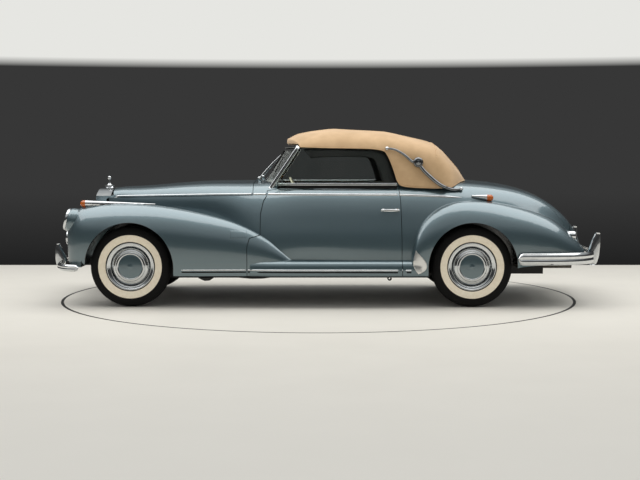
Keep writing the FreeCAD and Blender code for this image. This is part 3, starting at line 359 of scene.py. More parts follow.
# %% Leather, wood, rubber and plastics
GRAIN_MM, WEAR_MM, FIGURE_MM = 2.4, 90, 14

leather, tree, shader = new_material("hide", **{
    "Roughness": 0.45, "Coat Weight": 0.15, "Coat Roughness": 0.3})
point = object_point(tree)
grain = pattern(tree, "ShaderNodeTexVoronoi", GRAIN_MM, point)
wear = pattern(tree, "ShaderNodeTexNoise", WEAR_MM, point, {"Detail": 3.0})
tinted(tree, shader, wear.outputs["Fac"], "#6E5236", "#8A6A48")
bumped(tree, shader, grain.outputs["Distance"], 0.3, 0.4)

wood, tree, shader = new_material("walnut", **{
    "Roughness": 0.3, "Coat Weight": 1.0, "Coat Roughness": 0.05})
figure = pattern(tree, "ShaderNodeTexNoise", FIGURE_MM, object_point(tree, (6, 0.25, 1)),
                 {"Detail": 6.0, "Distortion": 1.2})
tinted(tree, shader, figure.outputs["Fac"], "#3A1C0D", "#8B5428", 0.35, 0.65)

rubber = noisy_finish("tyre_rubber", "#0A0909", "#111010", 12, (0.75, 0.88), 0.2,
                      **{"Specular IOR Level": 0.25})
whitewall = noisy_finish("whitewall_rubber", "#EADDC4", "#F3E8D2", 25, (0.5, 0.65), 0.1)
ivory = noisy_finish("ivory_plastic", "#DDD2B0", "#E8DFC2", 30, (0.2, 0.3), **{"Coat Weight": 0.5})
print("finishes: leather, wood, rubber and plastics")

# %% [markdown]
# Window glass lets light straight through and darkens it a little. Lamp glass is the same glass with
# flutes pressed into it, and the signal and tail lenses are coloured all through.

# %% Glass and lenses
glass, tree, shader = new_material("window_glass", **{"Transmission Weight": 1.0, "IOR": 1.12})
film = pattern(tree, "ShaderNodeTexNoise", 200)
tinted(tree, shader, film.outputs["Fac"], "#E6ECEA", "#F0F4F2")
ranged(tree, shader, "Roughness", film.outputs["Fac"], 0.0, 0.02)

lamp_glass, tree, shader = new_material("fluted_glass", **{
    "Transmission Weight": 1.0, "Roughness": 0.02, "IOR": 1.45})
flutes = pattern(tree, "ShaderNodeTexWave", 9, bands_direction="Y")
tinted(tree, shader, flutes.outputs["Fac"], "#F2F4F4", "#FBFCFC")
bumped(tree, shader, flutes.outputs["Fac"], 0.8, 0.6)


def lens_finish(name, dark, pale):
    """Moulded acrylic, coloured all through, with ribs 5 mm apart."""
    material, tree, shader = new_material(name, **{
        "Roughness": 0.08, "Transmission Weight": 0.35, "Coat Weight": 0.6})
    ribs = pattern(tree, "ShaderNodeTexWave", 5, bands_direction="Z")
    tinted(tree, shader, ribs.outputs["Fac"], dark, pale, 0.0, 1.0)
    bumped(tree, shader, ribs.outputs["Fac"], 0.4, 0.5)
    return material


amber = lens_finish("amber_lens", "#C25A10", "#E07A22")
red = lens_finish("red_lens", "#7A0E0C", "#A01814")
print("finishes: window glass, lamp glass and two lens colours")

# %% [markdown]
# The record names a slot for every CAD piece, such as chrome or body_paint. A table from slots to finishes
# dresses all the pieces at once.

# %% Finishes onto the CAD pieces
finish_of = {"body_paint": paint, "top_cloth": cloth, "glass": glass, "chrome": chrome,
             "amber_lens": amber, "red_lens": red, "tyre_rubber": rubber, "wheel_chrome": chrome,
             "chassis_black": black, "cast_iron": iron, "steel": steel, "wood": wood,
             "ivory_plastic": ivory, "seat_leather": leather}
for part in frame["record"]["subparts"]:
    for place in nodes[part["node"]].material_slots:
        place.material = finish_of[part["material_slot"]]
for place in nodes["floor_pan"].material_slots:
    place.material = carpet

# %% [markdown]
# A car's lines are drawn with battens: a thin lath held at a few points bends smoothly in between.
# Two splines do the same here, one for a height that follows x and one for any line in space. A sheet
# with a thickness could come from a Solidify modifier. Here it is worked out, so that its faces are
# known and its inner side can get a finish of its own.

# %% Helpers for smooth lines and thick sheets
def smooth_line(corners_mm):
    """Monotone cubic through (x, value) pairs, for whole arrays of x, as in the CAD lofts."""
    knots = np.array(sorted(corners_mm), dtype=float)
    spans = np.diff(knots[:, 0])
    slopes = np.diff(knots[:, 1]) / spans
    before, after = slopes[:-1], slopes[1:]
    turning = before * after <= 0
    mean = np.where(turning, 0, 2 * before * after / np.where(turning, 1, before + after))
    tangents = np.r_[slopes[0], mean, slopes[-1]]

    def value(x):
        x = np.clip(x, knots[0, 0], knots[-1, 0])
        i = np.clip(np.searchsorted(knots[:, 0], x, side="right") - 1, 0, len(spans) - 1)
        u = (x - knots[i, 0]) / spans[i]
        return (knots[i, 1] * (1 + 2 * u) * (1 - u) ** 2 + tangents[i] * spans[i] * u * (1 - u) ** 2
                + knots[i + 1, 1] * u * u * (3 - 2 * u) + tangents[i + 1] * spans[i] * u * u * (u - 1))

    return value


def spline_through(knots, count):
    """Natural cubic spline by chord length through (k, n) knots: count points, evenly spread."""
    knots = np.asarray(knots, dtype=float)
    at_knot = np.r_[0, np.cumsum(np.linalg.norm(np.diff(knots, axis=0), axis=1))]
    span = np.diff(at_knot)
    inner = np.arange(1, len(span))
    system = np.diag(np.r_[1, 2 * (span[:-1] + span[1:]), 1])
    system[inner, inner - 1], system[inner, inner + 1] = span[:-1], span[1:]
    slope = np.diff(knots, axis=0) / span[:, None]
    free_end = np.zeros_like(knots[:1])
    bend = np.linalg.solve(system, np.concatenate([free_end, 6 * np.diff(slope, axis=0), free_end]))
    at = np.linspace(0, at_knot[-1], count)
    i = np.clip(np.searchsorted(at_knot, at, side="right") - 1, 0, len(span) - 1)
    h, a, b = span[i, None], (at_knot[i + 1] - at)[:, None], (at - at_knot[i])[:, None]
    return ((bend[i] * a ** 3 + bend[i + 1] * b ** 3) / (6 * h) + (knots[i] / h - bend[i] * h / 6) * a
            + (knots[i + 1] / h - bend[i + 1] * h / 6) * b)


def thick_sheet(points, thickness, keep=None):
    """Closed shell: the grid, its copy moved in along the normals, and a strip along every open edge."""
    rows, columns = points.shape[:2]
    normal = unit(np.cross(np.gradient(points, axis=0), np.gradient(points, axis=1)))
    faces = grid_faces(rows, columns)
    if keep is not None:
        faces = faces[keep.ravel()]
    edges = np.concatenate([faces[:, [k, (k + 1) % 4]] for k in range(4)])
    _, which, shared = np.unique(np.sort(edges, axis=1), axis=0, return_inverse=True, return_counts=True)
    rim = edges[shared[which.ravel()] == 1]
    total = rows * columns
    every = np.concatenate([faces, faces[:, ::-1] + total,
                            np.stack([rim[:, 1], rim[:, 0], rim[:, 0] + total, rim[:, 1] + total], axis=1)])
    used, renamed = np.unique(every, return_inverse=True)
    both = np.concatenate([points.reshape(-1, 3), (points - thickness * normal).reshape(-1, 3)])
    return both[used], renamed.reshape(every.shape), len(faces)


def closed_sheet(points, thickness):
    """A thick sheet as the points and the outward faces of a piece."""
    points, faces, _ = thick_sheet(points, thickness)
    return points, outward_facing(points, faces.tolist())


def sheet_size(points):
    """Greatest width and length of a grid laid flat, and its area, in metres."""
    def run(axis):
        return np.linalg.norm(np.diff(points, axis=axis), axis=2).sum(axis=axis).max()
    corner = points[:-1, :-1]
    sides = np.cross(points[1:, :-1] - corner, points[:-1, 1:] - corner)
    return run(1), run(0), np.linalg.norm(sides, axis=2).sum()


# %% [markdown]
# The tyres are cross-ply whitewalls: a black tread with straight ribs and nicked shoulders, a cream
# band on the outer wall and a thin black bead. The whole tyre is one profile turned about the axle,
# and its radius dips where a groove or a nick runs, so the tread is real geometry.

# %% Tyres
TYRE_PROFILE_MM = np.array([
    (206, -58), (207, -66), (216, -73), (236, -80.5), (262, -84), (288, -82), (312, -74.5), (326, -66),
    (334, -58), (339, -46), (342, -33), (344, -18), (345, 0), (344, 18), (342, 33), (339, 46), (334, 58),
    (326, 66), (312, 74.5), (290, 82), (272, 83.8), (270, 84), (269, 84.8), (262, 85), (240, 81.8),
    (220, 75.2), (212, 70.5), (211, 69.5), (207, 66), (206, 58),
])
GROOVES_MM = (-36, -13, 13, 36)
NICKS = 90
CREAM_FROM_MM, CREAM_TO_MM = 211.4, 269.6


def tyre_points(centre, side):
    """Rounds the profile, then dips the tread by 6 mm in four grooves and by 4 mm in shoulder nicks."""
    steps = np.r_[0, np.cumsum(np.linalg.norm(np.diff(TYRE_PROFILE_MM, axis=0), axis=1))]
    along = np.unique(np.r_[np.linspace(0, steps[-1], 110), steps])
    radius, offset = (np.interp(along, steps, TYRE_PROFILE_MM[:, k]) for k in (0, 1))
    tread = np.clip((radius - 330) / 4, 0, 1)
    groove = np.max([np.clip(1.6 - np.abs(offset - middle) / 2.2, 0, 1) for middle in GROOVES_MM], axis=0)
    turn = np.linspace(0, 2 * np.pi, NICKS * 4, endpoint=False)
    nick = (np.cos(turn * NICKS) > 0.4)[:, None] * np.clip((np.abs(offset) - 44) / 3, 0, 1) * tread
    depth = 6 * groove * tread + 4 * nick
    reach = (radius - depth) / 1000
    points = np.stack([np.cos(turn)[:, None] * reach, np.tile(side * offset / 1000, (len(turn), 1)),
                       np.sin(turn)[:, None] * reach], axis=-1)
    return points + np.asarray(centre), radius, offset


WHEELS = ["front_left", "front_right", "rear_left", "rear_right"]
wheel_centre = {}
for name in WHEELS:
    low, high = (np.array(corner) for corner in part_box("tyre_" + name))
    wheel_centre[name] = (low + high) / 2
for name in WHEELS:
    side = 1 if name.endswith("left") else -1
    points, radius, offset = tyre_points(wheel_centre[name], side)
    rows, columns = points.shape[:2]
    faces = grid_faces(rows, columns, wrap_rows=True, wrap_columns=True)
    tyre = make_piece("tyre_with_tread_" + name, points, outward_facing(points, faces.tolist()),
                      [rubber, whitewall], "roadwheel_" + name, "tyre_rubber")
    middle = (radius[faces % columns].mean(axis=1), offset[faces % columns].mean(axis=1))
    cream = (middle[0] > CREAM_FROM_MM) & (middle[0] < CREAM_TO_MM) & (middle[1] > 0)
    tyre.data.polygons.foreach_set("material_index", cream.astype(np.int32))
    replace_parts(tyre, "tyre_" + name)
print("tyres:", len(WHEELS), "of", rows * columns, "points each")

# %% [markdown]
# A pressed steel wheel hides behind two bright parts: a stepped trim ring that covers the rim, and a
# hub cap with two bright rings round a centre disc in body colour. The disc is left plain.

# %% Wheels, trim rings and hub caps
RIM_MM = [
    (60, -56), (130, -57), (150, -30), (166, -40), (178, -60), (203, -64), (205, -60), (205, 60),
    (204, 66), (201, 68.5), (196, 68), (191, 65), (188, 61.5), (186.5, 61), (183, 60.5), (177, 58),
    (171, 53), (167, 46), (165, 39), (162, 35), (155, 33), (60, 33),
]
CAP_MM = [
    (0.4, 40), (150, 36), (156, 40), (157, 44), (153, 50), (146, 56.5), (138, 62), (131, 65.5), (128, 66.5),
    (126.4, 65.2), (124.8, 65.2), (123, 67.5), (119, 70.2), (113, 72.4), (108, 72.6), (104.5, 70.5),
    (102.8, 68.2), (100.5, 68.4), (98, 69.6), (80, 72.6), (55, 75.2), (28, 76.6), (0.4, 77),
]
DISC_RADIUS, DISC_DEPTH = 0.1022, 0.06

for name in WHEELS:
    side = 1 if name.endswith("left") else -1
    for label, profile, ring in (("wheel_rim_", RIM_MM, True), ("hub_cap_", CAP_MM, False)):
        points, faces = turned_about(np.array(profile) / 1000, wheel_centre[name], (0, side, 0), 128, ring)
        finish = chrome if ring else [chrome, paint]
        piece = make_piece(label + name, points, faces, finish, "roadwheel_" + name, "wheel_chrome")
        if not ring:
            corners = points.reshape(-1, 3) - wheel_centre[name]
            radius, offset = np.linalg.norm(corners[:, [0, 2]], axis=1), side * corners[:, 1]
            centre_disc = [radius[face].mean() < DISC_RADIUS and offset[face].mean() > DISC_DEPTH
                           for face in faces]
            piece.data.polygons.foreach_set("material_index", np.array(centre_disc, dtype=np.int32))
        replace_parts(piece, "wheel_" + name)
print("wheels: rim and hub cap on each of", len(WHEELS))

# %% [markdown]
# Bright strips are rolled brass, chromium plated and clipped to the panels. Their line is drawn in
# the side view and dropped onto the panels by a ray, so each strip lies on the metal whatever its
# curve. It is cut where a door or the bonnet opens, and each length rides on its own panel.

# %% Lines dropped onto the panels
def panel_tree(*names):
    """One search tree over the meshes of several CAD nodes."""
    points, faces = [], []
    for name in names:
        mesh = nodes[name].data
        start = len(points)
        points += [vertex.co.copy() for vertex in mesh.vertices]
        faces += [[start + index for index in face.vertices] for face in mesh.polygons]
    return BVHTree.FromPolygons(points, faces)


def dropped(tree, spots, start_y=1.3):
    """For (x, z) spots in metres: the outermost point of the panels there, and the way out of it."""
    places, normals = [], []
    for x, z in spots:
        place, normal, *_ = tree.ray_cast(Vector((x, start_y, z)), Vector((0, -1, 0)))
        if place is None:
            raise ValueError(f"nothing to land on at x {x:.3f}, z {z:.3f}")
        places.append(place)
        normals.append(normal if normal.y > 0 else -normal)
    normals = np.array(normals)
    padded = np.concatenate([normals[:1], normals, normals[-1:]])
    return np.array(places), unit(padded[:-2] + padded[1:-1] + padded[2:])


side_tree = panel_tree("door_left", "front_wing_left", "bonnet", "cowl", "rear_body", "rear_wing_left")


def line_spots(corners_mm, spacing=0.02):
    """Points about every 20 mm along a line of (x, z) corners given in millimetres."""
    corners = np.array(corners_mm, dtype=float) / 1000
    steps = np.r_[0, np.cumsum(np.linalg.norm(np.diff(corners, axis=0), axis=1))]
    along = np.linspace(0, steps[-1], max(int(steps[-1] / spacing), 2) + 1)
    return np.stack([np.interp(along, steps, corners[:, k]) for k in (0, 1)], axis=1)


def half_round(width_mm, height_mm, count=9):
    """Section of a strip: a flat back sunk 1 mm into the panel, and an arch over it."""
    turn = np.linspace(-np.pi / 2, np.pi / 2, count)
    arch = np.stack([height_mm * np.cos(turn), width_mm / 2 * np.sin(turn)], axis=1)
    return np.concatenate([[(-1, -width_mm / 2)], arch, [(-1, width_mm / 2)]]) / 1000


def evened(values, reach=7):
    """Moving average along a path; the path is reflected through its ends, so they stay put."""
    reach = min(reach, (len(values) - 1) // 4)
    before, after = 2 * values[:1] - values[reach:0:-1], 2 * values[-1:] - values[-2:-reach - 2:-1]
    padded = np.concatenate([before, values, after])
    weights = np.ones(2 * reach + 1) / (2 * reach + 1)
    return np.stack([np.convolve(padded[:, k], weights, mode="valid") for k in range(3)], axis=1)


def strip_pair(name, corners_mm, width_mm, height_mm, bodies, finish, taper=(0, 0)):
    """Strips on both sides. Taper is the length in mm over which the front and rear ends narrow."""
    path, outward = (evened(values) for values in dropped(side_tree, line_spots(corners_mm, 0.012)))
    steps = np.r_[0, np.cumsum(np.linalg.norm(np.diff(path, axis=0), axis=1))] * 1000
    share = np.ones(len(path))
    for run, length in zip((steps, steps[-1] - steps), taper):
        if length:
            share = np.minimum(share, np.sqrt(np.clip(run / length, 0.02, 1)))
    section = half_round(width_mm, height_mm) * share[:, None, None]
    return make_pair(name, *swept(path, section, outward), finish, bodies)


# %% Bright strips along the belt and the sills
STRIPS = (  # name, side-view line, width, height, bodies, taper at the front and at the rear
    ("bonnet_strip", [(1890, 926), (858, 954), (654, 957)], 16, 7, BONNET, (20, 0)),
    ("cowl_strip", [(640, 956), (530, 957)], 18, 8, FIXED, (0, 0)),
    ("door_strip", [(514, 957), (-590, 953)], 22, 9, DOORS, (0, 0)),
    ("rear_belt_strip", [(-604, 952), (-900, 943), (-1140, 928)], 22, 9, FIXED, (0, 120)),
    ("wing_sill_strip", [(1240, 324), (694, 324)], 14, 8, FIXED, (16, 0)),
    ("door_sill_strip", [(678, 324), (-586, 323)], 15, 8, DOORS, (0, 0)),
    ("rear_sill_strip", [(-600, 323), (-698, 323)], 15, 11, FIXED, (0, 0)),
)
for name, corners, width, height, bodies, taper in STRIPS:
    strip_pair(name, corners, width, height, bodies, chrome, taper)
print("strips:", len(STRIPS), "pairs along the belt and the sills")

# %% [markdown]
# Low on each front wing's flank the solid model leaves a small slot where the wing is thin. The real
# panel is whole, so a thin painted skin follows the flank over it. Its shape is a smooth polynomial
# through the sound metal round about, and its rim dips under the surface so that no edge shows.

# %% Skin on the front wings' flanks
X_FROM, X_TO, Z_FROM, Z_TO = 0.690, 0.826, 0.592, 0.654
along_x, up_z = np.meshgrid(np.linspace(X_FROM, X_TO, 35), np.linspace(Z_FROM, Z_TO, 17), indexing="ij")
flank, _ = dropped(side_tree, np.column_stack([along_x.ravel(), up_z.ravel()]))
u, v = (flank[:, 0] - 0.758) / 0.07, (flank[:, 2] - 0.623) / 0.03
powers = np.stack([u ** i * v ** j for i in range(5) for j in range(5 - i)], axis=1)
sound = flank[:, 1] > 0.80
weights = np.linalg.lstsq(powers[sound], flank[sound, 1], rcond=None)[0]
misfit = np.abs(powers[sound] @ weights - flank[sound, 1]).max()
print(f"flank skin: fits the metal within {1000 * misfit:.2f} mm")
rim_gap = np.min([along_x - X_FROM, X_TO - along_x, up_z - Z_FROM, Z_TO - up_z], axis=0)
proud = -0.0004 + 0.0008 * np.clip(rim_gap / 0.015, 0, 1)
skin = np.stack([along_x, (powers @ weights).reshape(along_x.shape) + proud, up_z], axis=-1)
make_pair("wing_flank_skin", *closed_sheet(skin, 0.001), paint)

# %% [markdown]
# Under each sill hang pressed steel brackets that carry the body on its chassis, and a short tube
# for the jack. From the side only their dark lower edges show, so each bracket is one block whose
# depth follows a curve, swept along the sill.

# %% Brackets under the sills
BRACKETS = (("front", 0.975, 1.105, 0.222, 0.262), ("middle", 0.485, 0.770, 0.240, 0.258))
for label, x_from, x_to, low, high in BRACKETS:
    side_path = np.column_stack([np.linspace(x_from, x_to, 12), np.full(12, 0.780), np.full(12, high)])
    drop = (high - low) * np.interp(np.linspace(0, 1, 12), [0, 0.25, 0.6, 1], [0.35, 0.9, 1.0, 0.4])
    size = np.stack([np.full(12, 0.05), drop], axis=1)
    section = np.array([(-0.5, 0), (0.5, 0), (0.4, -1), (-0.4, -1)]) * size[:, None]
    make_pair(f"sill_bracket_{label}", *swept(side_path, section, (0, 1, 0)), black)
socket = [(0.009, 0.0), (0.018, 0.0), (0.018, 0.05), (0.009, 0.05)]
make_pair("jacking_socket", *turned_about(socket, (-0.519, 0.80, 0.247), (0, 1, 0), 24, ring=True), black)
print("brackets and jacking sockets under the sills")

# %% [markdown]
# The soft top is a cloth stretched over three bows and tacked to the windscreen rail and to the deck.
# It is built as one grid: a spline goes over the car at each of many stations along it, and each
# spline is cut off at the lower edge that the side view shows. The front rows roll down over the rail.

# %% Soft top: its lines and its grid
roof_crown = smooth_line([(372, 1430), (263, 1487), (110, 1517), (-39, 1528), (-273, 1522), (-505, 1503),
                          (-739, 1458), (-931, 1401), (-1080, 1255), (-1217, 1087), (-1235, 1062)])
roof_half = smooth_line([(372, 600), (200, 615), (-39, 622), (-505, 632), (-931, 640), (-1040, 610),
                         (-1120, 525), (-1180, 390), (-1235, 190)])
roof_foot = smooth_line([(372, 640), (0, 665), (-505, 690), (-931, 700), (-1040, 672), (-1120, 575),
                         (-1180, 430), (-1235, 220)])
roof_side = smooth_line([(372, 1370), (200, 1395), (-39, 1405), (-505, 1390), (-739, 1345), (-931, 1275),
                         (-1040, 1190), (-1120, 1130), (-1180, 1090), (-1235, 1046)])
lower_edge = smooth_line([(372, 1366), (262, 1361), (100, 1355), (-317, 1348), (-420, 1340),
                          (-466, 1330), (-489, 1318), (-512, 1282), (-536, 1232), (-568, 1144),
                          (-587, 1084), (-600, 1056), (-614, 1038), (-640, 1027), (-680, 1020),
                          (-787, 1013), (-925, 1010), (-1016, 1012), (-1057, 1018), (-1100, 1036),
                          (-1134, 1054), (-1180, 1064), (-1235, 1068)])
FOOT_Z, CLOTH_MM, ACROSS = 1000, 5, 120
ARCH_POINTS = 401
RAIL_X, TAIL_X = 352, -1235  # where the cloth's grid starts and ends
BOW_MM, HALF_RAIL_MM = 122, 640  # the screen's ends lie that far behind its middle


def roof_arch(x):
    """Spline over the car at one station: (y, z) from the left foot to the right foot."""
    crown, side, half, foot = roof_crown(x), roof_side(x), roof_half(x), roof_foot(x)
    left = np.array([(foot, FOOT_Z), (foot - 0.25 * (foot - half), FOOT_Z + 0.4 * (side - FOOT_Z)),
                     (half, side), (0.86 * half, side + 0.52 * (crown - side)),
                     (0.52 * half, side + 0.88 * (crown - side)), (0, crown)])
    return spline_through(np.concatenate([left, left[-2::-1] * (-1, 1)]), ARCH_POINTS)


def bow_of(y):
    """How far the windscreen and its rail run back at a distance y from the middle."""
    return BOW_MM * (y / HALF_RAIL_MM) ** 2


stations = np.unique(np.r_[np.linspace(RAIL_X, -440, 60), np.linspace(-440, -660, 60),
                           np.linspace(-660, TAIL_X, 80)])[::-1]
arches = np.array([roof_arch(x) for x in stations])
pulled = np.clip(1 - (RAIL_X - stations) / 500, 0, 1)
grid = np.zeros((len(stations), ACROSS + 1, 3))
for row, (x, arch) in enumerate(zip(stations, arches)):
    foot_z = lower_edge(x - bow_of(610) * pulled[row])
    first = np.argmax(arch[:201, 1] >= foot_z)
    share = (foot_z - arch[first - 1, 1]) / (arch[first, 1] - arch[first - 1, 1]) if first else 0
    start = max(first - 1 + share, 0)
    at = np.linspace(start, ARCH_POINTS - 1 - start, ACROSS + 1)
    y, z = (np.interp(at, np.arange(ARCH_POINTS), arch[:, k]) for k in (0, 1))
    grid[row] = np.stack([x - bow_of(y) * pulled[row], y, z], axis=1)
print("hood: a grid of", *grid.shape[:2], "points")

# %% [markdown]
# Stretched cloth sinks a little between its bows and wrinkles where it is tacked down. A cloth
# simulation would find that by itself, but a hood is pulled so tight that a few millimetres of sine
# between the bows and two soft creases on each quarter say it all, and the lower edge stays put.

# %% Soft top: sag between the bows, creases and the roll over the rail
BOWS_X = (RAIL_X, -60, -505, -931)
SAG_MM = 6
sag = np.zeros(len(stations))
for ahead, behind in zip(BOWS_X, BOWS_X[1:]):
    share = (ahead - stations) / (ahead - behind)
    sag += np.where((share >= 0) & (share < 1), np.sin(np.pi * share), 0)
over = np.sin(np.linspace(0, np.pi, ACROSS + 1)) ** 2
grid[..., 2] -= SAG_MM * sag[:, None] * over
quarter = np.clip((-560 - grid[..., 0]) / 120, 0, 1) * np.clip((-grid[..., 0] + 100) / 400, 0, 1)
height = grid[..., 2]
creases = (2.2 * np.exp(-((height - 1078) / 9) ** 2)
           + 1.6 * np.exp(-((height - 1056 - 0.03 * grid[..., 0]) / 7) ** 2))
grid[..., 1] += np.sign(grid[..., 1]) * creases * quarter * (np.abs(grid[..., 1]) > 560)

front = grid[0]
drop = np.maximum((front[:, 2] - 1384) / 2, 2.5)
turns = np.radians([20, 45, 70, 95, 120, 145, 170])[::-1]
roll = np.stack([front + np.stack([0.62 * drop * np.sin(a), 0 * drop, -drop * (1 - np.cos(a))], axis=1)
                 for a in turns])
hood = np.concatenate([roll, grid]) / 1000
side_of, height_of = np.abs(hood[..., 1]), hood[..., 2]
hole = (side_of < 0.318) & (height_of > 1.15) & (height_of < 1.32) & (hood[..., 0] < -0.9)
open_cells = hole[:-1, :-1] | hole[1:, :-1] | hole[:-1, 1:] | hole[1:, 1:]
points, faces, outside = thick_sheet(hood, CLOTH_MM / 1000, ~open_cells)
hood_piece = make_piece("hood_cloth", points, faces, [cloth, lining])
inside = np.zeros(len(faces), dtype=np.int32)
inside[outside:2 * outside] = 1
hood_piece.data.polygons.foreach_set("material_index", inside)
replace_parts(hood_piece, "soft_top")
width, length, area = sheet_size(hood)
print(f"hood: {width:.2f} x {length:.2f} m of cloth, {area:.2f} square metres")

# %% [markdown]
# The cloth is edged with a rolled binding, and its panels meet in piped seams. These are thin tubes
# that follow lines of the cloth's own grid, so they can't float off it.

# %% Soft top: bindings, seams and the rear window's border
CABIN_MIDDLE = np.array([-0.35, 0, 1.2])
ROLL_ROWS = len(turns)
SEAM_COLUMN, BOW_COLUMN = 38, 17


def beaded(name, line, width_mm, height_mm, closed=False, outward=None):
    """An oval bead of cloth along a line of points, half sunk in what it lies on."""
    away = unit(line - CABIN_MIDDLE) if outward is None else outward
    tube = swept(line, ellipse(height_mm / 1000, width_mm / 1000, 10), away, closed)
    return make_piece(name, *tube, cloth)


edge_line = np.concatenate([hood[ROLL_ROWS:, 0], hood[-1, 1:-1], hood[:ROLL_ROWS - 1:-1, -1]])
beaded("hood_binding", edge_line, 9, 9)
bow_row = ROLL_ROWS + int(np.argmin(np.abs(stations - BOWS_X[-1])))
beaded("rear_bow_seam", hood[bow_row, BOW_COLUMN:-BOW_COLUMN], 9, 5)
for name, column in (("left", SEAM_COLUMN), ("right", ACROSS - SEAM_COLUMN)):
    beaded(f"long_seam_{name}", hood[ROLL_ROWS + 1:bow_row, column], 6, 3)
beaded("header_binding", hood[2, 1:-1], 7, 7)

hood_tree = BVHTree.FromPolygons([tuple(p) for p in hood.reshape(-1, 3)],
                                 grid_faces(*hood.shape[:2]).tolist())
seam_spots = spline_through(np.array([(-508, 1334), (-600, 1315), (-690, 1276), (-775, 1222), (-840, 1158),
                                      (-905, 1088), (-965, 1040), (-1012, 1018)]) / 1000, 50)
seam_line, seam_out = dropped(hood_tree, seam_spots)
for side, sign in SIDES:
    beaded(f"quarter_seam_{side}", seam_line * (1, sign, 1), 8, 4, outward=seam_out * (1, sign, 1))


def rounded_outline(half_width, low, high, radius, count=10):
    """Closed rounded rectangle of (y, z) points."""
    turn = np.linspace(0, np.pi / 2, count)
    square = ((half_width, high), (-half_width, high), (-half_width, low), (half_width, low))
    corners = []
    for quarter_turn, (y, z) in enumerate(square):
        angle = turn + quarter_turn * np.pi / 2
        centre = (y - math.copysign(radius, y), z - math.copysign(radius, z - (low + high) / 2))
        corners.append(np.column_stack([np.cos(angle), np.sin(angle)]) * radius + centre)
    corners = np.concatenate(corners + [corners[0][:1]])
    return line_spots(corners * 1000, 0.012)[:-1]


border = [hood_tree.ray_cast(Vector((-2.0, y, z)), Vector((1, 0, 0)))[0]
          for y, z in rounded_outline(0.326, 1.143, 1.327, 0.05)]
beaded("rear_window_border", np.array(border), 26, 9, closed=True, outward=(-1, 0, 0.9))
print("hood: bindings, four kinds of seam and the rear window's border")

# %% [markdown]
# Between the cloth and the side glass runs a black rail with its rubber, the hood frame's canopy
# rail. From the side it is the dark frame round the window.

# %% Canopy rails
rail_outer = np.array([(214, 1336), (60, 1351), (-317, 1345), (-418, 1337), (-466, 1326), (-488, 1312),
                       (-510, 1277), (-534, 1227), (-566, 1140), (-588, 1078), (-598, 1052)]) / 1000
rail_inner = np.array([(150, 1262), (60, 1272), (-280, 1274), (-352, 1270), (-382, 1262), (-396, 1250),
                       (-408, 1228), (-424, 1190), (-448, 1122), (-462, 1072), (-470, 1048)]) / 1000
outer_line, inner_line = spline_through(rail_outer, 90), spline_through(rail_inner, 90)
share = np.linspace(0, 1, 7)[None, :, None]
flat_rail = outer_line[:, None] * (1 - share) + inner_line[:, None] * share
rail_y = 0.640 - 0.035 * (flat_rail[..., 1] - 1.046) / 0.32 - 0.018
rail_y = rail_y + 0.006 * np.sin(np.pi * share[..., 0])
rail = np.stack([flat_rail[..., 0], rail_y, flat_rail[..., 1]], axis=-1)
make_pair("canopy_rail", *closed_sheet(rail, 0.012), black)
print("hood: canopy rails of", rail.size // 3, "points")

# %% [markdown]
# The windscreen's frame is a broad chromium band with a thinner bright frame inside it that holds the
# rubber. Both are sections carried along one line on the bowed, raked screen.

# %% Windscreen frame
SCREEN_X, SCREEN_Z, SCREEN_RISE = 628, 985, 385  # the middle of its foot, and how far it rises
RAKE = 231 / 340  # how far it runs back for each millimetre that it rises


def screen_point(y_mm, share, ahead_mm=0.0):
    """Point on the screen at y and a share of its rise, moved forwards by ahead."""
    y, share = np.broadcast_arrays(np.asarray(y_mm, dtype=float), np.asarray(share, dtype=float))
    x = SCREEN_X - bow_of(y) - RAKE * SCREEN_RISE * share + ahead_mm
    return np.stack([x, y, SCREEN_Z + SCREEN_RISE * share], axis=-1) / 1000


def screen_loop(half_mm, low, high, radius_mm=30, closed=False):
    """Line round the screen at a half width, between two shares of its rise, with rounded corners."""
    lift = radius_mm / SCREEN_RISE
    turn = np.linspace(0, np.pi / 2, 8)
    up = np.linspace(low + (lift if closed else 0), high - lift, 24)
    across = np.linspace(half_mm - radius_mm, -half_mm + radius_mm, 40)[1:-1]
    y = [np.full(24, half_mm), half_mm - radius_mm * (1 - np.cos(turn))[1:], across,
         -half_mm + radius_mm * (1 - np.cos(turn[::-1])), np.full(23, -half_mm)]
    z = [up, high - lift + lift * np.sin(turn)[1:], np.full(38, high),
         high - lift + lift * np.sin(turn[::-1]), up[-2::-1]]
    if closed:
        y += [-half_mm + radius_mm * (1 - np.cos(turn))[1:], across[::-1],
              half_mm - radius_mm * (1 - np.cos(turn[::-1]))[:-1]]
        z += [low + lift - lift * np.sin(turn)[1:], np.full(38, low),
              low + lift - lift * np.sin(turn[::-1])[:-1]]
    return np.concatenate(y), np.concatenate(z)


def band(width_mm, depth_mm, round_mm, count=5):
    """Section of a band with rounded corners: depth outward, width across."""
    turn = np.linspace(0, np.pi / 2, count)
    corner = np.stack([np.cos(turn), np.sin(turn)], axis=1) * round_mm
    core = np.array([(depth_mm / 2 - round_mm, width_mm / 2 - round_mm)])
    quarters = [corner + core, (corner * (-1, 1))[::-1] + core * (-1, 1), corner * -1 - core,
                (corner * (1, -1))[::-1] + core * (1, -1)]
    return np.concatenate(quarters) / 1000


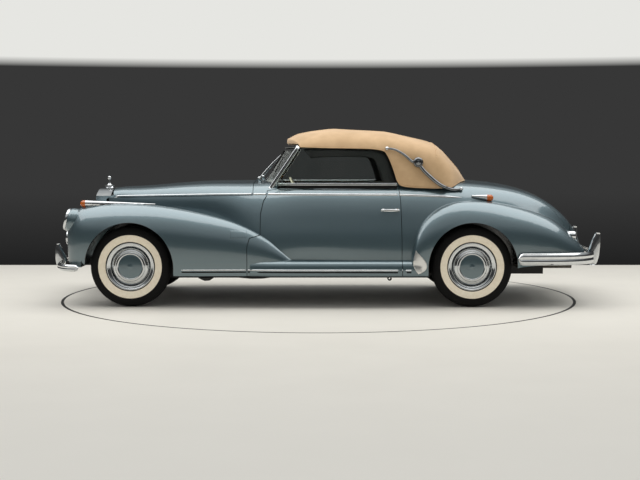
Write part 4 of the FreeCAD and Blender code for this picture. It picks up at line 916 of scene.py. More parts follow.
FORWARD = (0.83, 0, 0.56)
LOOPS = (  # name, half width, low, high, corner radius, closed, shift forwards, section, finish
    ("windscreen_surround", 622, 0.045, 0.972, 30, False, -3, band(28, 34, 8), chrome),
    ("windscreen_inner_frame", 590, 0.15, 0.912, 26, True, -4, band(11, 12, 4), chrome),
    ("windscreen_rubber", 604, 0.11, 0.942, 30, True, -8, band(24, 12, 4), rubber),
)
loops = {}
for name, half, low, high, radius, closed, ahead, section, finish in LOOPS:
    y, share = screen_loop(half, low, high, radius, closed)
    loops[name] = make_piece(name, *swept(screen_point(y, share, ahead), section, FORWARD, closed), finish)
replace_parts(loops["windscreen_surround"], "windscreen_frame")
print("windscreen:", len(LOOPS), "loops round the glass")

# %% [markdown]
# A wiper is a plated arm on a spindle, with a thin rubber blade that lies along the glass. Two thin
# oval tubes are enough at this size. The blade's points come from the screen's own formula, so it
# can't cut into the glass.

# %% Wipers
for side, sign in SIDES:
    pivot = np.array([0.606, sign * 0.36, 1.088])
    tip = screen_point(sign * 250, 0.80, 16)
    elbow = pivot * 0.6 + tip * 0.4 + (0.005, 0, 0.004)
    arm = spline_through([pivot, elbow, tip], 16)
    make_piece(f"wiper_arm_{side}", *swept(arm, ellipse(0.006, 0.007, 8), FORWARD), chrome)
    rise = np.linspace(0.47, 1.0, 16) * 0.86 + 0.03
    rubber_line = screen_point(sign * np.linspace(330, 190, 16), rise, 8)
    make_piece(f"wiper_blade_{side}", *swept(rubber_line, ellipse(0.012, 0.005, 8), FORWARD), rubber)
    spindle = [(0.0005, -0.04), (0.012, -0.04), (0.014, -0.01), (0.017, 0.0), (0.015, 0.009),
               (0.008, 0.013), (0.0005, 0.014)]
    make_piece(f"wiper_spindle_{side}", *turned_about(spindle, pivot, (0.15, 0, 1), 20), chrome)
print("wipers: two, with arm, blade and spindle")

# %% [markdown]
# The bumpers are pressed blades: a hollow curve in plan, a rounded face with ribs rolled along it, and
# upright guards like horns. One section is carried along the plan curve, and it shrinks to a rounded
# tip at each end.

# %% Bumper blades
BLADE_POINTS, TIP_MM = 150, 45  # points along a blade, and the length of its rounded tip
GUARD_POINTS = 24


def blade(name, plan_mm, low, high, crown_mm, ribs, rib_mm):
    """A blade along a plan of (x, y) corners, with its face bulging by crown_mm and ribbed rib_mm deep."""
    plan = np.array(plan_mm, dtype=float)
    both = spline_through(np.concatenate([plan, (plan * (1, -1))[-2::-1]]), BLADE_POINTS)
    path = np.column_stack([both, np.full(len(both), (low + high) / 2)]) / 1000
    along = unit(np.gradient(path, axis=0))
    outward = np.cross(along, (0, 0, 1.0))
    outward *= np.sign(outward[BLADE_POINTS // 2, 0] * plan[-1, 0])
    height = np.linspace(-1, 1, 41)
    face = (crown_mm * (1 - height ** 2)
            + rib_mm * np.abs(np.sin(np.pi * ribs * (height + 1) / 2)) * (1 - height ** 8))
    half = (high - low) / 2
    front = np.stack([face - crown_mm, height * half], axis=1)
    back = np.stack([front[::-1, 0] - 5, front[::-1, 1] * 0.985], axis=1)
    steps = np.r_[0, np.cumsum(np.linalg.norm(np.diff(path, axis=0), axis=1))] * 1000
    share = np.clip(np.minimum(steps, steps[-1] - steps) / TIP_MM, 0.0, 1)
    share = np.sqrt(1 - (1 - share) ** 2) * 0.96 + 0.04
    size = np.stack([0.4 + 0.6 * share, share], axis=1)
    section = np.concatenate([front, back]) / 1000 * size[:, None]
    return make_piece(name, *swept(path, section, outward), chrome)


def upright(name, front_mm, rear_mm, y_mm, width_mm):
    """A guard between two lines of the side view, rounded across by powers of sin and cos."""
    front, rear = (spline_through(line, GUARD_POINTS) for line in (front_mm, rear_mm))
    turn = np.linspace(0, 2 * np.pi, GUARD_POINTS, endpoint=False)
    middle, half = (front + rear) / 2, (front - rear) / 2
    across = np.sign(np.sin(turn)) * np.abs(np.sin(turn)) ** 0.7 * width_mm / 2
    along = np.sign(np.cos(turn)) * np.abs(np.cos(turn)) ** 0.8
    slim = np.sqrt(np.clip(1 - (np.linspace(0, 1, GUARD_POINTS) - 0.15).clip(0) ** 3, 0.1, 1))
    points = np.stack([middle[:, :1] + half[:, :1] * along, y_mm + across * slim[:, None],
                       middle[:, 1:] + half[:, 1:] * along], axis=-1) / 1000
    faces = grid_faces(GUARD_POINTS, GUARD_POINTS, wrap_columns=True).tolist()
    faces += end_caps(GUARD_POINTS, GUARD_POINTS)
    return make_piece(name, points, outward_facing(points, faces), chrome)


front_plan = [(2105, 905), (2215, 870), (2300, 760), (2345, 560), (2366, 280), (2371, 0)]
rear_plan = [(-1592, 944), (-1850, 940), (-2080, 890), (-2240, 760), (-2310, 520), (-2336, 260), (-2342, 0)]
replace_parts(blade("front_bumper_blade", front_plan, 311, 367, 9, 2, 5), "front_bumper")
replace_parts(blade("rear_bumper_blade", rear_plan, 366, 468, 9, 2, 8), "rear_bumper")

BUMPER_ENDS = (  # end, guard's outer and inner line, its y and width; stay from x, to x, y, z
    ("front", [(2372, 300), (2388, 345), (2394, 415), (2389, 480), (2380, 515)],
     [(2300, 300), (2288, 345), (2302, 410), (2332, 470), (2352, 513)],
     450, 58, (2225, 2345, 420, 340)),
    ("rear", [(-2345, 332), (-2368, 390), (-2378, 460), (-2383, 540), (-2380, 612)],
     [(-2282, 332), (-2268, 390), (-2278, 460), (-2304, 540), (-2338, 612)],
     480, 54, (-2300, -1905, 440, 405)),
)
for side, sign in SIDES:
    for end, outer, inner, guard_y, width, (x_from, x_to, y, z) in BUMPER_ENDS:
        upright(f"{end}_bumper_guard_{side}", outer, inner, sign * guard_y, width)
        stay = np.array([(x, sign * y, z) for x in np.linspace(x_from, x_to, 8)]) / 1000
        make_piece(f"{end}_bumper_stay_{side}", *swept(stay, band(22, 40, 4), (0, 1, 0)), black)
print("bumpers: two blades, four guards and four stays")

# %% [markdown]
# A headlamp is a bright ring, a silvered bowl and a fluted glass in front of it. Each is a profile
# turned about the lamp's own axis, which tilts up with the wing. The fog lamps are the same recipe
# in a small bright shell on a stalk.

# %% Headlamps and fog lamps
def lamp_unit(name, front, axis, r, depth, shell):
    """Ring, bowl, bulb and glass of radius r about an axis, before a bright shell or a painted fairing."""
    rim = [(r * 0.90, -0.012), (r * 0.99, -0.010), (r * 1.00, 0.000), (r * 0.985, 0.010), (r * 0.95, 0.016),
           (r * 0.905, 0.014), (r * 0.885, 0.008), (r * 0.885, -0.004)]
    bowl = [(r * 0.885, -0.002), (r * 0.80, -0.012), (r * 0.64, -0.028), (r * 0.42, -0.042),
            (r * 0.16, -0.050), (POLE, -0.051), (POLE, -0.054), (r * 0.18, -0.053), (r * 0.44, -0.045),
            (r * 0.66, -0.031), (r * 0.82, -0.015), (r * 0.895, -0.005)]
    dome = [(max(r * 0.885 * t, POLE), 0.004 + r * 0.26 * (1 - t ** 2))
            for t in np.linspace(0, 1, 12)[::-1]]
    pane = dome + [(x * 0.985, z - 0.003) for x, z in dome[::-1]]
    bulb = [(POLE, -0.052), (0.011, -0.050), (0.014, -0.030), (0.010, -0.018), (POLE, -0.014)]
    if shell:
        back = [(r * 0.955, -0.009), (r * 0.93, -depth * 0.35), (r * 0.78, -depth * 0.75),
                (r * 0.5, -depth * 0.98), (r * 0.2, -depth * 1.08), (POLE, -depth * 1.1), (POLE, -depth),
                (r * 0.5, -depth * 0.9), (r * 0.74, -depth * 0.68), (r * 0.89, -depth * 0.3),
                (r * 0.91, -0.009)]
    else:
        back = [(r * 0.97, -0.006), (r * 1.04, -0.010), (r * 1.10, -0.030), (r * 1.14, -0.065),
                (r * 1.16, -depth), (POLE, -depth), (POLE, -depth + 0.004), (r * 1.10, -depth + 0.004),
                (r * 1.04, -0.040), (r * 0.93, -0.010)]
    parts = (("ring", rim, 64, chrome, "chrome"), ("bowl", bowl, 48, chrome, "chrome"),
             ("glass", pane, 64, lamp_glass, "glass"), ("bulb", bulb, 20, ivory, "glass"),
             ("shell", back, 48, chrome if shell else paint, "chrome" if shell else "body_paint"))
    return {part: make_piece(f"{name}_{part}", *turned_about(profile, front, axis, count, part == "ring"),
                             finish, slot=slot) for part, profile, count, finish, slot in parts}


LEAN = math.radians(14)
lean_axis = (math.cos(LEAN), 0, math.sin(LEAN))
headlamps = [lamp_unit(f"headlamp_{side}", (2.228, sign * 0.692, 0.742), lean_axis, 0.096, 0.11, False)
             for side, sign in SIDES]
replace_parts(headlamps[0]["ring"], "headlamps")
stalk = [(POLE, 0), (0.009, 0), (0.009, 0.145), (POLE, 0.145)]
fog_lamps = []
for side, sign in SIDES:
    place, foot = (2.284, sign * 0.400, 0.566), (2.253, sign * 0.400, 0.3605)
    fog_lamps.append(lamp_unit(f"fog_lamp_{side}", place, (1, 0, 0), 0.062, 0.062, True))
    make_piece(f"fog_lamp_stalk_{side}", *turned_about(stalk, foot, (0, 0, 1), 16), chrome)
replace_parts(fog_lamps[0]["ring"], "fog_lamps")
print("lamps:", len(headlamps), "headlamps and", len(fog_lamps), "fog lamps")

# %% [markdown]
# A tail lamp is a red moulded lens in a bright tube that runs back into the wing. The lens is a low
# dome, so that it catches a highlight, and both are profiles turned about the car's own direction.

# %% Tail lamps
dome = [(max(0.036 * t, POLE), 0.004 + 0.012 * (1 - t ** 2)) for t in np.linspace(0, 1, 10)]
dome += [(0.036, -0.03), (POLE, -0.03)]
tube = [(0.0345, 0.002), (0.0370, 0.007), (0.0405, 0.006), (0.0420, 0.0), (0.0420, -0.066),
        (0.0370, -0.066), (0.0345, -0.03)]
for side, sign in SIDES:
    place = (-2.110, sign * 0.690, 0.600)
    lens = make_piece(f"tail_lens_{side}", *turned_about(dome, place, (-1, 0, 0), 40), red)
    make_piece(f"tail_lamp_ring_{side}", *turned_about(tube, place, (-1, 0, 0), 48, ring=True), chrome)
    if side == "left":
        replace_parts(lens, "tail_lamps")
print("lamps: two tail lamps")

# %% [markdown]
# The radiator's surround and cap come from the CAD. In its opening stand fine upright slats, far
# thinner than a solid model needs, before a dark core. Each slat is a three-sided bar with its edge
# forward, repeated by adding its place to the same six corners. A plain ball stands on the cap.

# %% Radiator slats and core
SLATS = 45
plan = ((2.044, -0.0014), (2.058, 0), (2.044, 0.0014))
slat = np.array([(x, y, z) for z in (0.455, 0.895) for x, y in plan])
points = slat + np.array([(0, y, 0) for y in np.linspace(-0.1965, 0.1965, SLATS)])[:, None]
one = np.array([(0, 1, 4), (0, 4, 3), (1, 2, 5), (1, 5, 4), (2, 0, 3), (2, 3, 5), (0, 2, 1), (3, 4, 5)])
faces = np.concatenate([one + len(slat) * number for number in range(SLATS)])
make_piece("radiator_slats", points, faces, chrome, flat=True)
core = np.array([[(2.0275, y, z) for y in (0.203, -0.203)] for z in (0.4515, 0.8985)])
make_piece("radiator_core", *closed_sheet(core, 0.0012), mesh_grey)
print("radiator:", SLATS, "slats before its core")

# %% [markdown]
# The seats are sprung frames under pleated leather. A pad is a box rounded by a power rule (a
# superellipsoid), with shallow valleys pressed into it between the pleats, and it leans as a back does.

# %% Seats
PLEAT_MM, ROUNDING = 6, 0.32  # depth of a valley, and the power: 1 is an ellipsoid and 0 a box


def pad(name, low, high, lean=0.0, pleats=9):
    """A cushion between two corners in mm: local = cos(rise) cos(turn), cos(rise) sin(turn), sin(rise),
    each raised to a small power. Lean shifts x by lean times the height above the foot."""
    low, high = np.array(low, dtype=float), np.array(high, dtype=float)
    rise, turn = np.meshgrid(np.linspace(-np.pi / 2, np.pi / 2, 41), np.linspace(0, 2 * np.pi, 121)[:-1],
                             indexing="ij")

    def eased(value):
        return np.sign(value) * np.abs(value) ** ROUNDING

    local = np.stack([eased(np.cos(rise)) * eased(np.cos(turn)), eased(np.cos(rise)) * eased(np.sin(turn)),
                      eased(np.sin(rise))], axis=-1)
    local[[0, -1], :, :2] *= 0.002
    points = (low + high) / 2 + local * (high - low) / 2
    share = (points[..., 1] - low[1]) / (high[1] - low[1])
    valley = (1 - np.abs(np.sin(np.pi * pleats * share)) ** 0.5) * PLEAT_MM * (np.abs(share - 0.5) < 0.44)
    axis = 0 if lean else 2
    face = (local[..., axis] > 0.55) & (np.abs(local[..., 2 - axis]) < 0.9)
    points[..., axis] -= valley * face
    points[..., 0] += lean * (points[..., 2] - low[2])
    rows, columns = points.shape[:2]
    faces = grid_faces(rows, columns, wrap_columns=True).tolist() + end_caps(rows, columns)
    piece = make_piece(name, points / 1000, outward_facing(points, faces), leather)
    return piece


front_pads = []
for side, sign in SIDES:
    y_from, y_to = sorted((sign * 98, sign * 608))
    front_pads.append(pad(f"front_cushion_{side}", (-415, y_from, 352), (88, y_to, 505)))
    front_pads.append(pad(f"front_back_{side}", (-402, y_from, 470), (-296, y_to, 928), lean=-0.28))
    foot = np.array([(x, (y_from + y_to) / 2, 336) for x in np.linspace(-380, 50, 6)]) / 1000
    make_piece(f"seat_base_{side}", *swept(foot, band(34, 420, 6)[:, ::-1], (0, 0, 1)), black)
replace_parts(front_pads[0], "front_seats")
rear_pads = [pad("rear_cushion", (-1040, -528, 484), (-702, 528, 596), pleats=19),
             pad("rear_back", (-1110, -528, 560), (-1012, 528, 896), lean=-0.14, pleats=19)]
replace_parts(rear_pads[0], "rear_seat")
print("seats:", len(front_pads) + len(rear_pads), "pleated pads")

# %% [markdown]
# The steering wheel has a thin ivory rim with finger grips, three slim spokes and a bright horn ring.
# It is the torus formula with a tube radius that ripples with the angle.

# %% Steering wheel
COLUMN_LEAN, RIM_RADIUS = math.radians(28), 0.207
facing = np.array([-math.cos(COLUMN_LEAN), 0, math.sin(COLUMN_LEAN)])
upward = np.array([math.sin(COLUMN_LEAN), 0, math.cos(COLUMN_LEAN)])
sideways = np.cross(facing, upward)
hub = np.array([0.235, 0.360, 0.905])


def hoop(name, radius, tube, material, ripple=0.0, centre=hub):
    """Torus: centre + radius * spoke, with a tube radius of tube * (1 + ripple * cos(36 turn))."""
    turn = np.linspace(0, 2 * np.pi, 180, endpoint=False)
    spoke = np.cos(turn)[:, None] * upward + np.sin(turn)[:, None] * sideways
    grown = (1 + ripple * np.cos(36 * turn))[:, None, None]
    section = ellipse(2 * tube, 2 * tube, 12) * grown
    return make_piece(name, *swept(centre + radius * spoke, section, spoke, closed=True), material)


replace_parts(hoop("steering_rim", RIM_RADIUS, 0.0105, ivory, 0.05), "steering_wheel")
hoop("horn_ring", 0.112, 0.004, chrome, centre=hub + 0.012 * facing)
spoke_reach = RIM_RADIUS - 0.003
for number, angle in enumerate(np.radians([0, 120, 240])):
    direction = math.cos(angle) * upward + math.sin(angle) * sideways
    reach = np.linspace(0.02, spoke_reach, 14)[:, None]
    line = hub + direction * reach - facing * 0.028 * (1 - (reach / spoke_reach) ** 2)
    section = ellipse(0.009, 0.020, 12) * (1 - 0.35 * reach[:, :, None] / spoke_reach)
    make_piece(f"steering_spoke_{number}", *swept(line, section, facing), ivory)
boss = [(POLE, -0.05), (0.030, -0.05), (0.036, -0.03), (0.036, -0.012), (0.030, 0.004), (0.018, 0.010),
        (POLE, 0.012)]
make_piece("steering_boss", *turned_about(boss, hub, facing, 40), ivory)
column_top = hub - facing * 0.04
column_foot = np.array([0.434, hub[1], hub[2] - 0.2 * math.tan(COLUMN_LEAN)])
column_line = column_top + np.linspace(0, 1, 6)[:, None] * (column_foot - column_top)
make_piece("steering_column", *swept(column_line, ellipse(0.046, 0.046, 20), (0, 1, 0)), black)
print("steering: rim, horn ring, three spokes, boss and column")

# %% [markdown]
# Four round instruments sit in the walnut, with bright rims, black faces and one needle each, all
# turned profiles and tiny tubes. A padded leather roll runs along the dashboard's top edge.

# %% Dashboard dials
DIAL_X, DIAL_Z, BACKWARD = 0.4355, 0.842, (-1, 0, 0)
dials = ((0.452, 0.052), (0.268, 0.052), (0.0, 0.040), (-0.36, 0.046))  # Y and radius of each
for number, (y, radius) in enumerate(dials):
    place = (DIAL_X, y, DIAL_Z)
    face = [(POLE, -0.002), (radius, -0.002), (radius, 0.0025), (POLE, 0.003)]
    make_piece(f"dial_face_{number}", *turned_about(face, place, BACKWARD, 48), black)
    rim = [(radius, -0.002), (radius * 1.09, -0.002), (radius * 1.09, 0.004), (radius * 1.03, 0.008),
           (radius * 0.97, 0.004)]
    make_piece(f"dial_rim_{number}", *turned_about(rim, place, BACKWARD, 48, ring=True), chrome)
    needle = np.array([(0.4318, y, DIAL_Z), (0.4318, y + radius * 0.25, DIAL_Z + radius * 0.4),
                       (0.4318, y + radius * 0.5, DIAL_Z + radius * 0.75)])
    make_piece(f"dial_needle_{number}", *swept(needle, ellipse(0.0012, 0.003, 6), BACKWARD), ivory)
roll_line = np.array([(0.446, y, 0.927) for y in np.linspace(-0.585, 0.585, 20)])
roll = make_piece("dashboard_roll", *swept(roll_line, ellipse(0.034, 0.046, 16), BACKWARD), leather)
print("dashboard:", len(dials), "dials and a roll")

# %% [markdown]
# A door card is leathercloth on board with upright ribs stitched into it. The ribs are a sine along
# the card, raised to a power below one, which makes them full with narrow valleys. It rides on its
# door, and so do the arm rest and the round base of the inner handle.

# %% Door trim
CARD_FRONT, RIB_SPACING = 0.455, 0.062
card_x, card_z = np.meshgrid(np.linspace(CARD_FRONT, -0.600, 60), np.linspace(0.372, 0.965, 40),
                             indexing="ij")
ribs = 0.0025 * np.abs(np.sin(np.pi * (card_x - CARD_FRONT) / RIB_SPACING)) ** 0.6
ribs *= (card_z < 0.86) & (card_z > 0.45)
card = np.stack([card_x, 0.6535 - 0.004 - ribs, card_z], axis=-1)
make_pair("door_card", *closed_sheet(card, -0.003), leather, DOORS)
rest = spline_through([(0.10, 0.640, 0.700), (0.06, 0.618, 0.712), (-0.10, 0.612, 0.716),
                       (-0.26, 0.618, 0.712), (-0.30, 0.640, 0.700)], 30)
make_pair("door_pull", *swept(rest, ellipse(0.026, 0.040, 14), (0, -1, 0)), leather, DOORS)
lever = [(POLE, 0), (0.016, 0), (0.016, 0.012), (0.010, 0.020), (POLE, 0.021)]
make_pair("door_lever_rose", *turned_about(lever, (-0.43, 0.650, 0.78), (0, -1, 0), 24), chrome, DOORS)
print("doors: cards with ribs", RIB_SPACING, "m apart")

# %% [markdown]
# The landau bars are S-shaped forgings that lock the folded top. Each ends in a ball and has a round
# joint in its middle. The line is read from the side view and stands 20 mm off the cloth.

# %% Landau bars
BAR_POINTS, OFF_CLOTH, KNOB_X = 70, 0.020, -0.768
bar_spots = spline_through(np.array([(-502, 1347), (-554, 1341), (-618, 1313), (-673, 1273), (-716, 1236),
                                     (-768, 1212), (-810, 1164), (-853, 1121), (-902, 1077), (-958, 1036),
                                     (-1015, 1009), (-1079, 995), (-1141, 1001)]) / 1000, BAR_POINTS)
bar_y = []
for x, z in bar_spots:
    hits = [tree.ray_cast(Vector((x, 1.3, z)), Vector((0, -1, 0)))[0] for tree in (hood_tree, side_tree)]
    bar_y.append(max(hit.y for hit in hits if hit is not None))
smoothed = np.convolve(np.r_[[bar_y[0]] * 6, bar_y, [bar_y[-1]] * 6], np.ones(13) / 13, mode="valid")
bar_line = np.column_stack([bar_spots[:, 0], np.maximum(smoothed, bar_y) + OFF_CLOTH, bar_spots[:, 1]])
thick = np.interp(np.linspace(0, 1, BAR_POINTS), [0, 0.30, 0.42, 0.60, 0.85, 1],
                  [0.018, 0.023, 0.032, 0.034, 0.029, 0.024])
# The bars and their joint wear the darker copy of chromium: painted shade.
bars = make_pair("landau_bar", *swept(bar_line, ellipse(1, 1, 14) * thick[:, None, None], (0, 1, 0)),
                 shaded_chrome)
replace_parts(bars[0], "landau_bars")


def ball(radius, count=14):
    """Profile of a ball: (radius * sin, -radius * cos) from pole to pole."""
    turn = np.linspace(0, np.pi, count)
    return [(max(radius * math.sin(t), 0.0005), -radius * math.cos(t)) for t in turn]


knob_at = np.array([KNOB_X, bar_line[np.argmin(np.abs(bar_line[:, 0] - KNOB_X)), 1], 1.2285])
knob = [(POLE, -0.020), (0.030, -0.019), (0.041, -0.012), (0.0445, 0.0), (0.042, 0.012), (0.036, 0.020),
        (0.031, 0.0225), (0.029, 0.0210), (0.020, 0.0255), (0.010, 0.0280), (POLE, 0.0285)]
make_pair("landau_joint", *turned_about(knob, knob_at, (0, 1, 0), 48), shaded_chrome)
stud = [(POLE, -0.026), (0.011, -0.026), (0.008, -0.012), (0.007, 0.0), (POLE, 0.0)]
for label, end, radius in (("front", bar_line[0], 0.017), ("rear", bar_line[-1], 0.016)):
    make_pair(f"landau_ball_{label}", *turned_about(ball(radius), end, (0, 1, 0), 24), chrome)
    make_pair(f"landau_stud_{label}", *turned_about(stud, end, (0, 1, 0), 20), chrome)
print("landau bars with their joints and balls")

# %% [markdown]
# Along the top of each door a bright rail and a rubber seal close the gap to the glass. Their line is
# the door's own, dropped onto it from the side.

# %% Door rails, seals and sill grooves
belt, _ = dropped(side_tree, line_spots([(430, 985), (-588, 985)], 0.02))
for name, rise, inwards, section, finish in (("door_rail", 0.056, 0.010, band(21, 12, 4), chrome),
                                             ("door_seal", 0.032, 0.009, band(28, 11, 3), rubber)):
    make_pair(name, *swept(belt + (0, -inwards, rise), section, (0, 1, 0)), finish, DOORS)
GROOVES = (("wing_groove", [(1236, 306), (694, 306)], FIXED),
           ("door_groove", [(678, 306), (-586, 305)], DOORS),
           ("rear_groove", [(-600, 305), (-698, 305)], FIXED))
for name, corners, bodies in GROOVES:
    strip_pair(name, corners, 12, 3, bodies, rubber)
print("doors: rails and seals; sills:", len(GROOVES), "pairs of grooves")

# %% [markdown]
# The pull-out door handle is a chromium grip on two short posts. Its line is dropped onto the door
# and lifted off it by the square root of a sine, which rises steeply at the posts and is almost flat
# where the hand goes.

# %% Door handles
GRIP_POINTS, GRIP_Z = 26, 0.8235
skin, _ = dropped(side_tree, np.column_stack([np.linspace(-0.449, -0.600, GRIP_POINTS),
                                              np.full(GRIP_POINTS, GRIP_Z)]))
lift = 0.030 * np.sin(np.pi * np.linspace(0.06, 0.94, GRIP_POINTS)) ** 0.5
along = np.linspace(0, 1, GRIP_POINTS)
shape = np.column_stack([0.0055 + 0.0035 * along, 0.0085 + 0.0035 * np.sin(np.pi * along)])
grip = swept(skin + lift[:, None] * (0, 1, 0), ellipse(2, 2, 14) * shape[:, None], (0, 1, 0))
for (side, _), handle in zip(SIDES, make_pair("door_handle_grip", *grip, chrome, DOORS)):
    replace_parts(handle, f"door_handle_{side}")
post = [(POLE, -0.002), (0.017, -0.002), (0.017, 0.003), (0.010, 0.007), (0.0075, 0.026), (POLE, 0.028)]
for label, index in (("front", 3), ("rear", 22)):
    make_pair(f"door_handle_post_{label}", *turned_about(post, skin[index], (0, 1, 0), 24), chrome, DOORS)
print("doors: a handle on each")

# %% [markdown]
# The front edge of each rear wing catches the stones that the front wheels throw up, so a plated leaf
# covers it, with a satin finish. It is a grid between two lines of the side view, dropped onto the
# wing. Relaxing it a few times, but never below the panel, bridges the corner where wing and sill meet.

# %% Stone guards on the rear wings
GUARD_ROWS, GUARD_COLUMNS, SILL_END = 40, 14, -0.775
guard_front = spline_through([(-736, 490), (-722, 440), (-712, 391), (-726, 335), (-757, 292)], GUARD_ROWS)
guard_rear = spline_through([(-737, 490), (-780, 440), (-826, 378), (-824, 334), (-758, 292)], GUARD_ROWS)
share = np.linspace(0, 1, GUARD_COLUMNS)[None, :, None]
spots = ((guard_front[:, None] * (1 - share) + guard_rear[:, None] * share) / 1000).reshape(-1, 2)
over_sill = np.clip((0.42 - spots[:, 1]) / 0.05, 0, 1) * np.clip((spots[:, 0] - SILL_END) / 0.01, 0, 1)
skin_spots = np.column_stack([spots[:, 0] - over_sill * (spots[:, 0] - SILL_END), spots[:, 1]])
shield, shield_out = dropped(side_tree, skin_spots)
over, _ = dropped(side_tree, spots)
shield[:, 0], shield[:, 1] = spots[:, 0], np.maximum(shield[:, 1], over[:, 1])
shield = shield.reshape(GUARD_ROWS, GUARD_COLUMNS, 3)
for _ in range(4):
    spread = np.pad(shield[..., 1], 1, mode="edge")
    around = spread[:-2, 1:-1] + spread[2:, 1:-1] + spread[1:-1, :-2] + spread[1:-1, 2:]
    shield[..., 1] = np.maximum(shield[..., 1], around / 4)
shield = shield + 0.0035 * shield_out.reshape(GUARD_ROWS, GUARD_COLUMNS, 3)
make_pair("stone_guard", *closed_sheet(shield, 0.003), satin_chrome)
print("wings: a stone guard on each rear wing")

# %% [markdown]
# The car stands on a pale studio floor with a turntable's ring in it, under a wide soft light, before
# a dark wall. The wall and the bright ceiling are only the background that the camera sees. What
# lights the car is a plain grey sky and one long soft lamp, so that each colour shows about as written.

# %% Lamps
def soft_lamp(name, place, target, width, depth, power):
    """A rectangle of light in metres and watts, turned to face its target."""
    lamp_data = bpy.data.lights.new(name, "AREA")
    lamp_data.shape = "RECTANGLE"
    lamp_data.size, lamp_data.size_y = width, depth
    lamp_data.energy = power
    lamp = bpy.data.objects.new(name, lamp_data)
    scene.collection.objects.link(lamp)
    lamp.location = place
    lamp.rotation_mode = "QUATERNION"
    lamp.rotation_quaternion = (Vector(target) - Vector(place)).to_track_quat("-Z", "Y")


soft_lamp("overhead", (0, 0.2, 4.6), (0, 0.2, 0), 13.0, 4.2, 350)
print("studio: one soft lamp")

# %% [markdown]
# The world is the grey sky that lights the car, and also what it stands before. Light Path tells the
# camera's own rays from the mirrored and the lighting ones, so the dark wall can be dark to the eye
# while the car is lit from all round, and the chrome mirrors a softer picture of the same studio.

# %% World: sky for light, wall and ceiling for the eye
CEILING_FROM, BLEND = 0.0774, 0.0006  # how steeply a ray looks up where the ceiling starts, and its edge
# The wall's foot colour is painted shade where the wall meets the floor.
WALL, WALL_FOOT_SHADE, CEILING = "#373737", "#1E1E1E", "#E6E6E2"


def by_height(tree, stops):
    """A colour that depends on how steeply a ray looks up: stops are (z of its direction, hex)."""
    facing = add_node(tree, "ShaderNodeTexCoord")
    parts = add_node(tree, "ShaderNodeSeparateXYZ", None, {"Vector": facing.outputs["Generated"]})
    share = add_node(tree, "ShaderNodeMapRange", {"From Min": -1.0, "From Max": 1.0},
                     {"Value": parts.outputs["Z"]})
    ramp = add_node(tree, "ShaderNodeValToRGB", None, {"Fac": share.outputs["Result"]})
    ramp.color_ramp.elements.remove(ramp.color_ramp.elements[1])
    for number, (z, hex_code) in enumerate(stops):
        stop = ramp.color_ramp.elements[0] if number == 0 else ramp.color_ramp.elements.new((z + 1) / 2)
        stop.position, stop.color = (z + 1) / 2, linear(hex_code)
    return ramp.outputs["Color"]


world = bpy.data.worlds.new("studio")
world.use_nodes = True
tree = world.node_tree
tree.nodes.clear()
sky = add_node(tree, "ShaderNodeBackground", {"Color": linear("#B4B5B6"), "Strength": 1.35})
MIRRORED = [(-0.3, "#8E8C86"), (-0.02, "#5A5A58"), (0.05, WALL), (0.35, "#454647"), (0.60, "#B0B3B4"),
            (1.0, CEILING)]
# The seen wall darkens towards its foot: painted shade at the corner with the floor.
SEEN = [(-0.095, WALL_FOOT_SHADE), (-0.03, WALL), (CEILING_FROM - BLEND, WALL), (CEILING_FROM, CEILING),
        (1.0, CEILING)]
mirrored = add_node(tree, "ShaderNodeBackground", None, {"Color": by_height(tree, MIRRORED)})
seen = add_node(tree, "ShaderNodeBackground", None, {"Color": by_height(tree, SEEN)})
ray = add_node(tree, "ShaderNodeLightPath")
straight = add_node(tree, "ShaderNodeMath", None,
                    {0: ray.outputs["Is Camera Ray"], 1: ray.outputs["Is Transmission Ray"]},
                    operation="MAXIMUM")
glossy_mix = add_node(tree, "ShaderNodeMixShader", None,
                      {0: ray.outputs["Is Glossy Ray"], 1: sky.outputs[0], 2: mirrored.outputs[0]})
seen_mix = add_node(tree, "ShaderNodeMixShader", None,
                    {0: straight.outputs[0], 1: glossy_mix.outputs[0], 2: seen.outputs[0]})
add_node(tree, "ShaderNodeOutputWorld", None, {"Surface": seen_mix.outputs[0]})
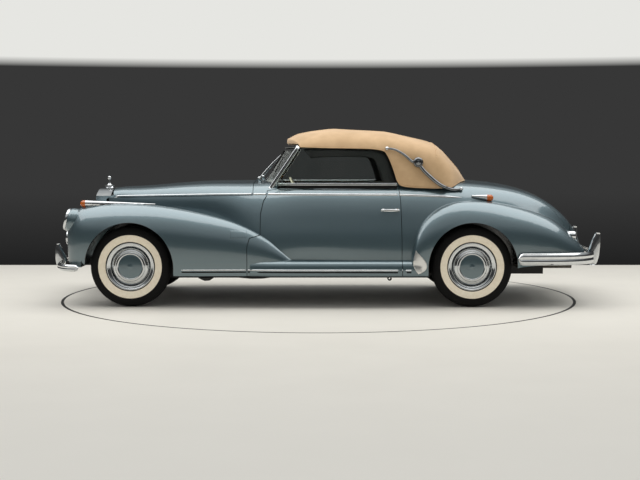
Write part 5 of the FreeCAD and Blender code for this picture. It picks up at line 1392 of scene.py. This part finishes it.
scene.world = world
print("studio: sky, mirrored studio and seen studio")

# %% [markdown]
# The floor is one pale plane in two close tones. Towards the camera its colour turns paler: painted light,
# where the overhead lamp reaches less far. The turntable's edge is not a piece: whatever lies at its radius
# is painted dark.

# %% Floor with the turntable's ring
RING_CENTRE, RING_RADIUS, RING_WIDTH = (0.084, 0.0, 0.0), 2.30, 0.026

floor_data = bpy.data.meshes.new("floor")
floor_data.from_pydata([(-8, -3.1, 0), (8, -3.1, 0), (8, 9.5, 0), (-8, 9.5, 0)], [], [(0, 1, 2, 3)])
floor = bpy.data.objects.new("floor", floor_data)
scene.collection.objects.link(floor)
floor_finish, tree, shader = new_material("studio_floor", **{"Roughness": 0.55, "Specular IOR Level": 0.3})
clouds = pattern(tree, "ShaderNodeTexNoise", 500, values={"Detail": 5.0})
reach = add_node(tree, "ShaderNodeVectorMath", {1: RING_CENTRE}, {0: object_point(tree)},
                 operation="DISTANCE")
in_ring = add_node(tree, "ShaderNodeMath", {1: RING_RADIUS, 2: RING_WIDTH / 2}, {0: reach.outputs["Value"]},
                   operation="COMPARE")
tone = add_node(tree, "ShaderNodeMixRGB", {"Color1": linear("#D6D2C8"), "Color2": linear("#DEDAD0")},
                {"Fac": clouds.outputs["Fac"]})
across = add_node(tree, "ShaderNodeSeparateXYZ", None, {"Vector": object_point(tree)})
nearness = add_node(tree, "ShaderNodeMapRange", {"From Min": 3.0, "From Max": 8.5},
                    {"Value": across.outputs["Y"]})
# Painted light: the floor's colour is mixed paler towards the camera.
painted_light_paler = add_node(tree, "ShaderNodeMixRGB", {"Color2": linear("#F4F1E8")},
                 {"Fac": nearness.outputs["Result"], "Color1": tone.outputs["Color"]})
ringed = add_node(tree, "ShaderNodeMixRGB", {"Color2": linear("#262524")},
                  {"Fac": in_ring.outputs["Value"], "Color1": painted_light_paler.outputs["Color"]})
tree.links.new(ringed.outputs["Color"], shader.inputs["Base Color"])
floor_data.materials.append(floor_finish)
print("studio: one lamp, a world and a floor")
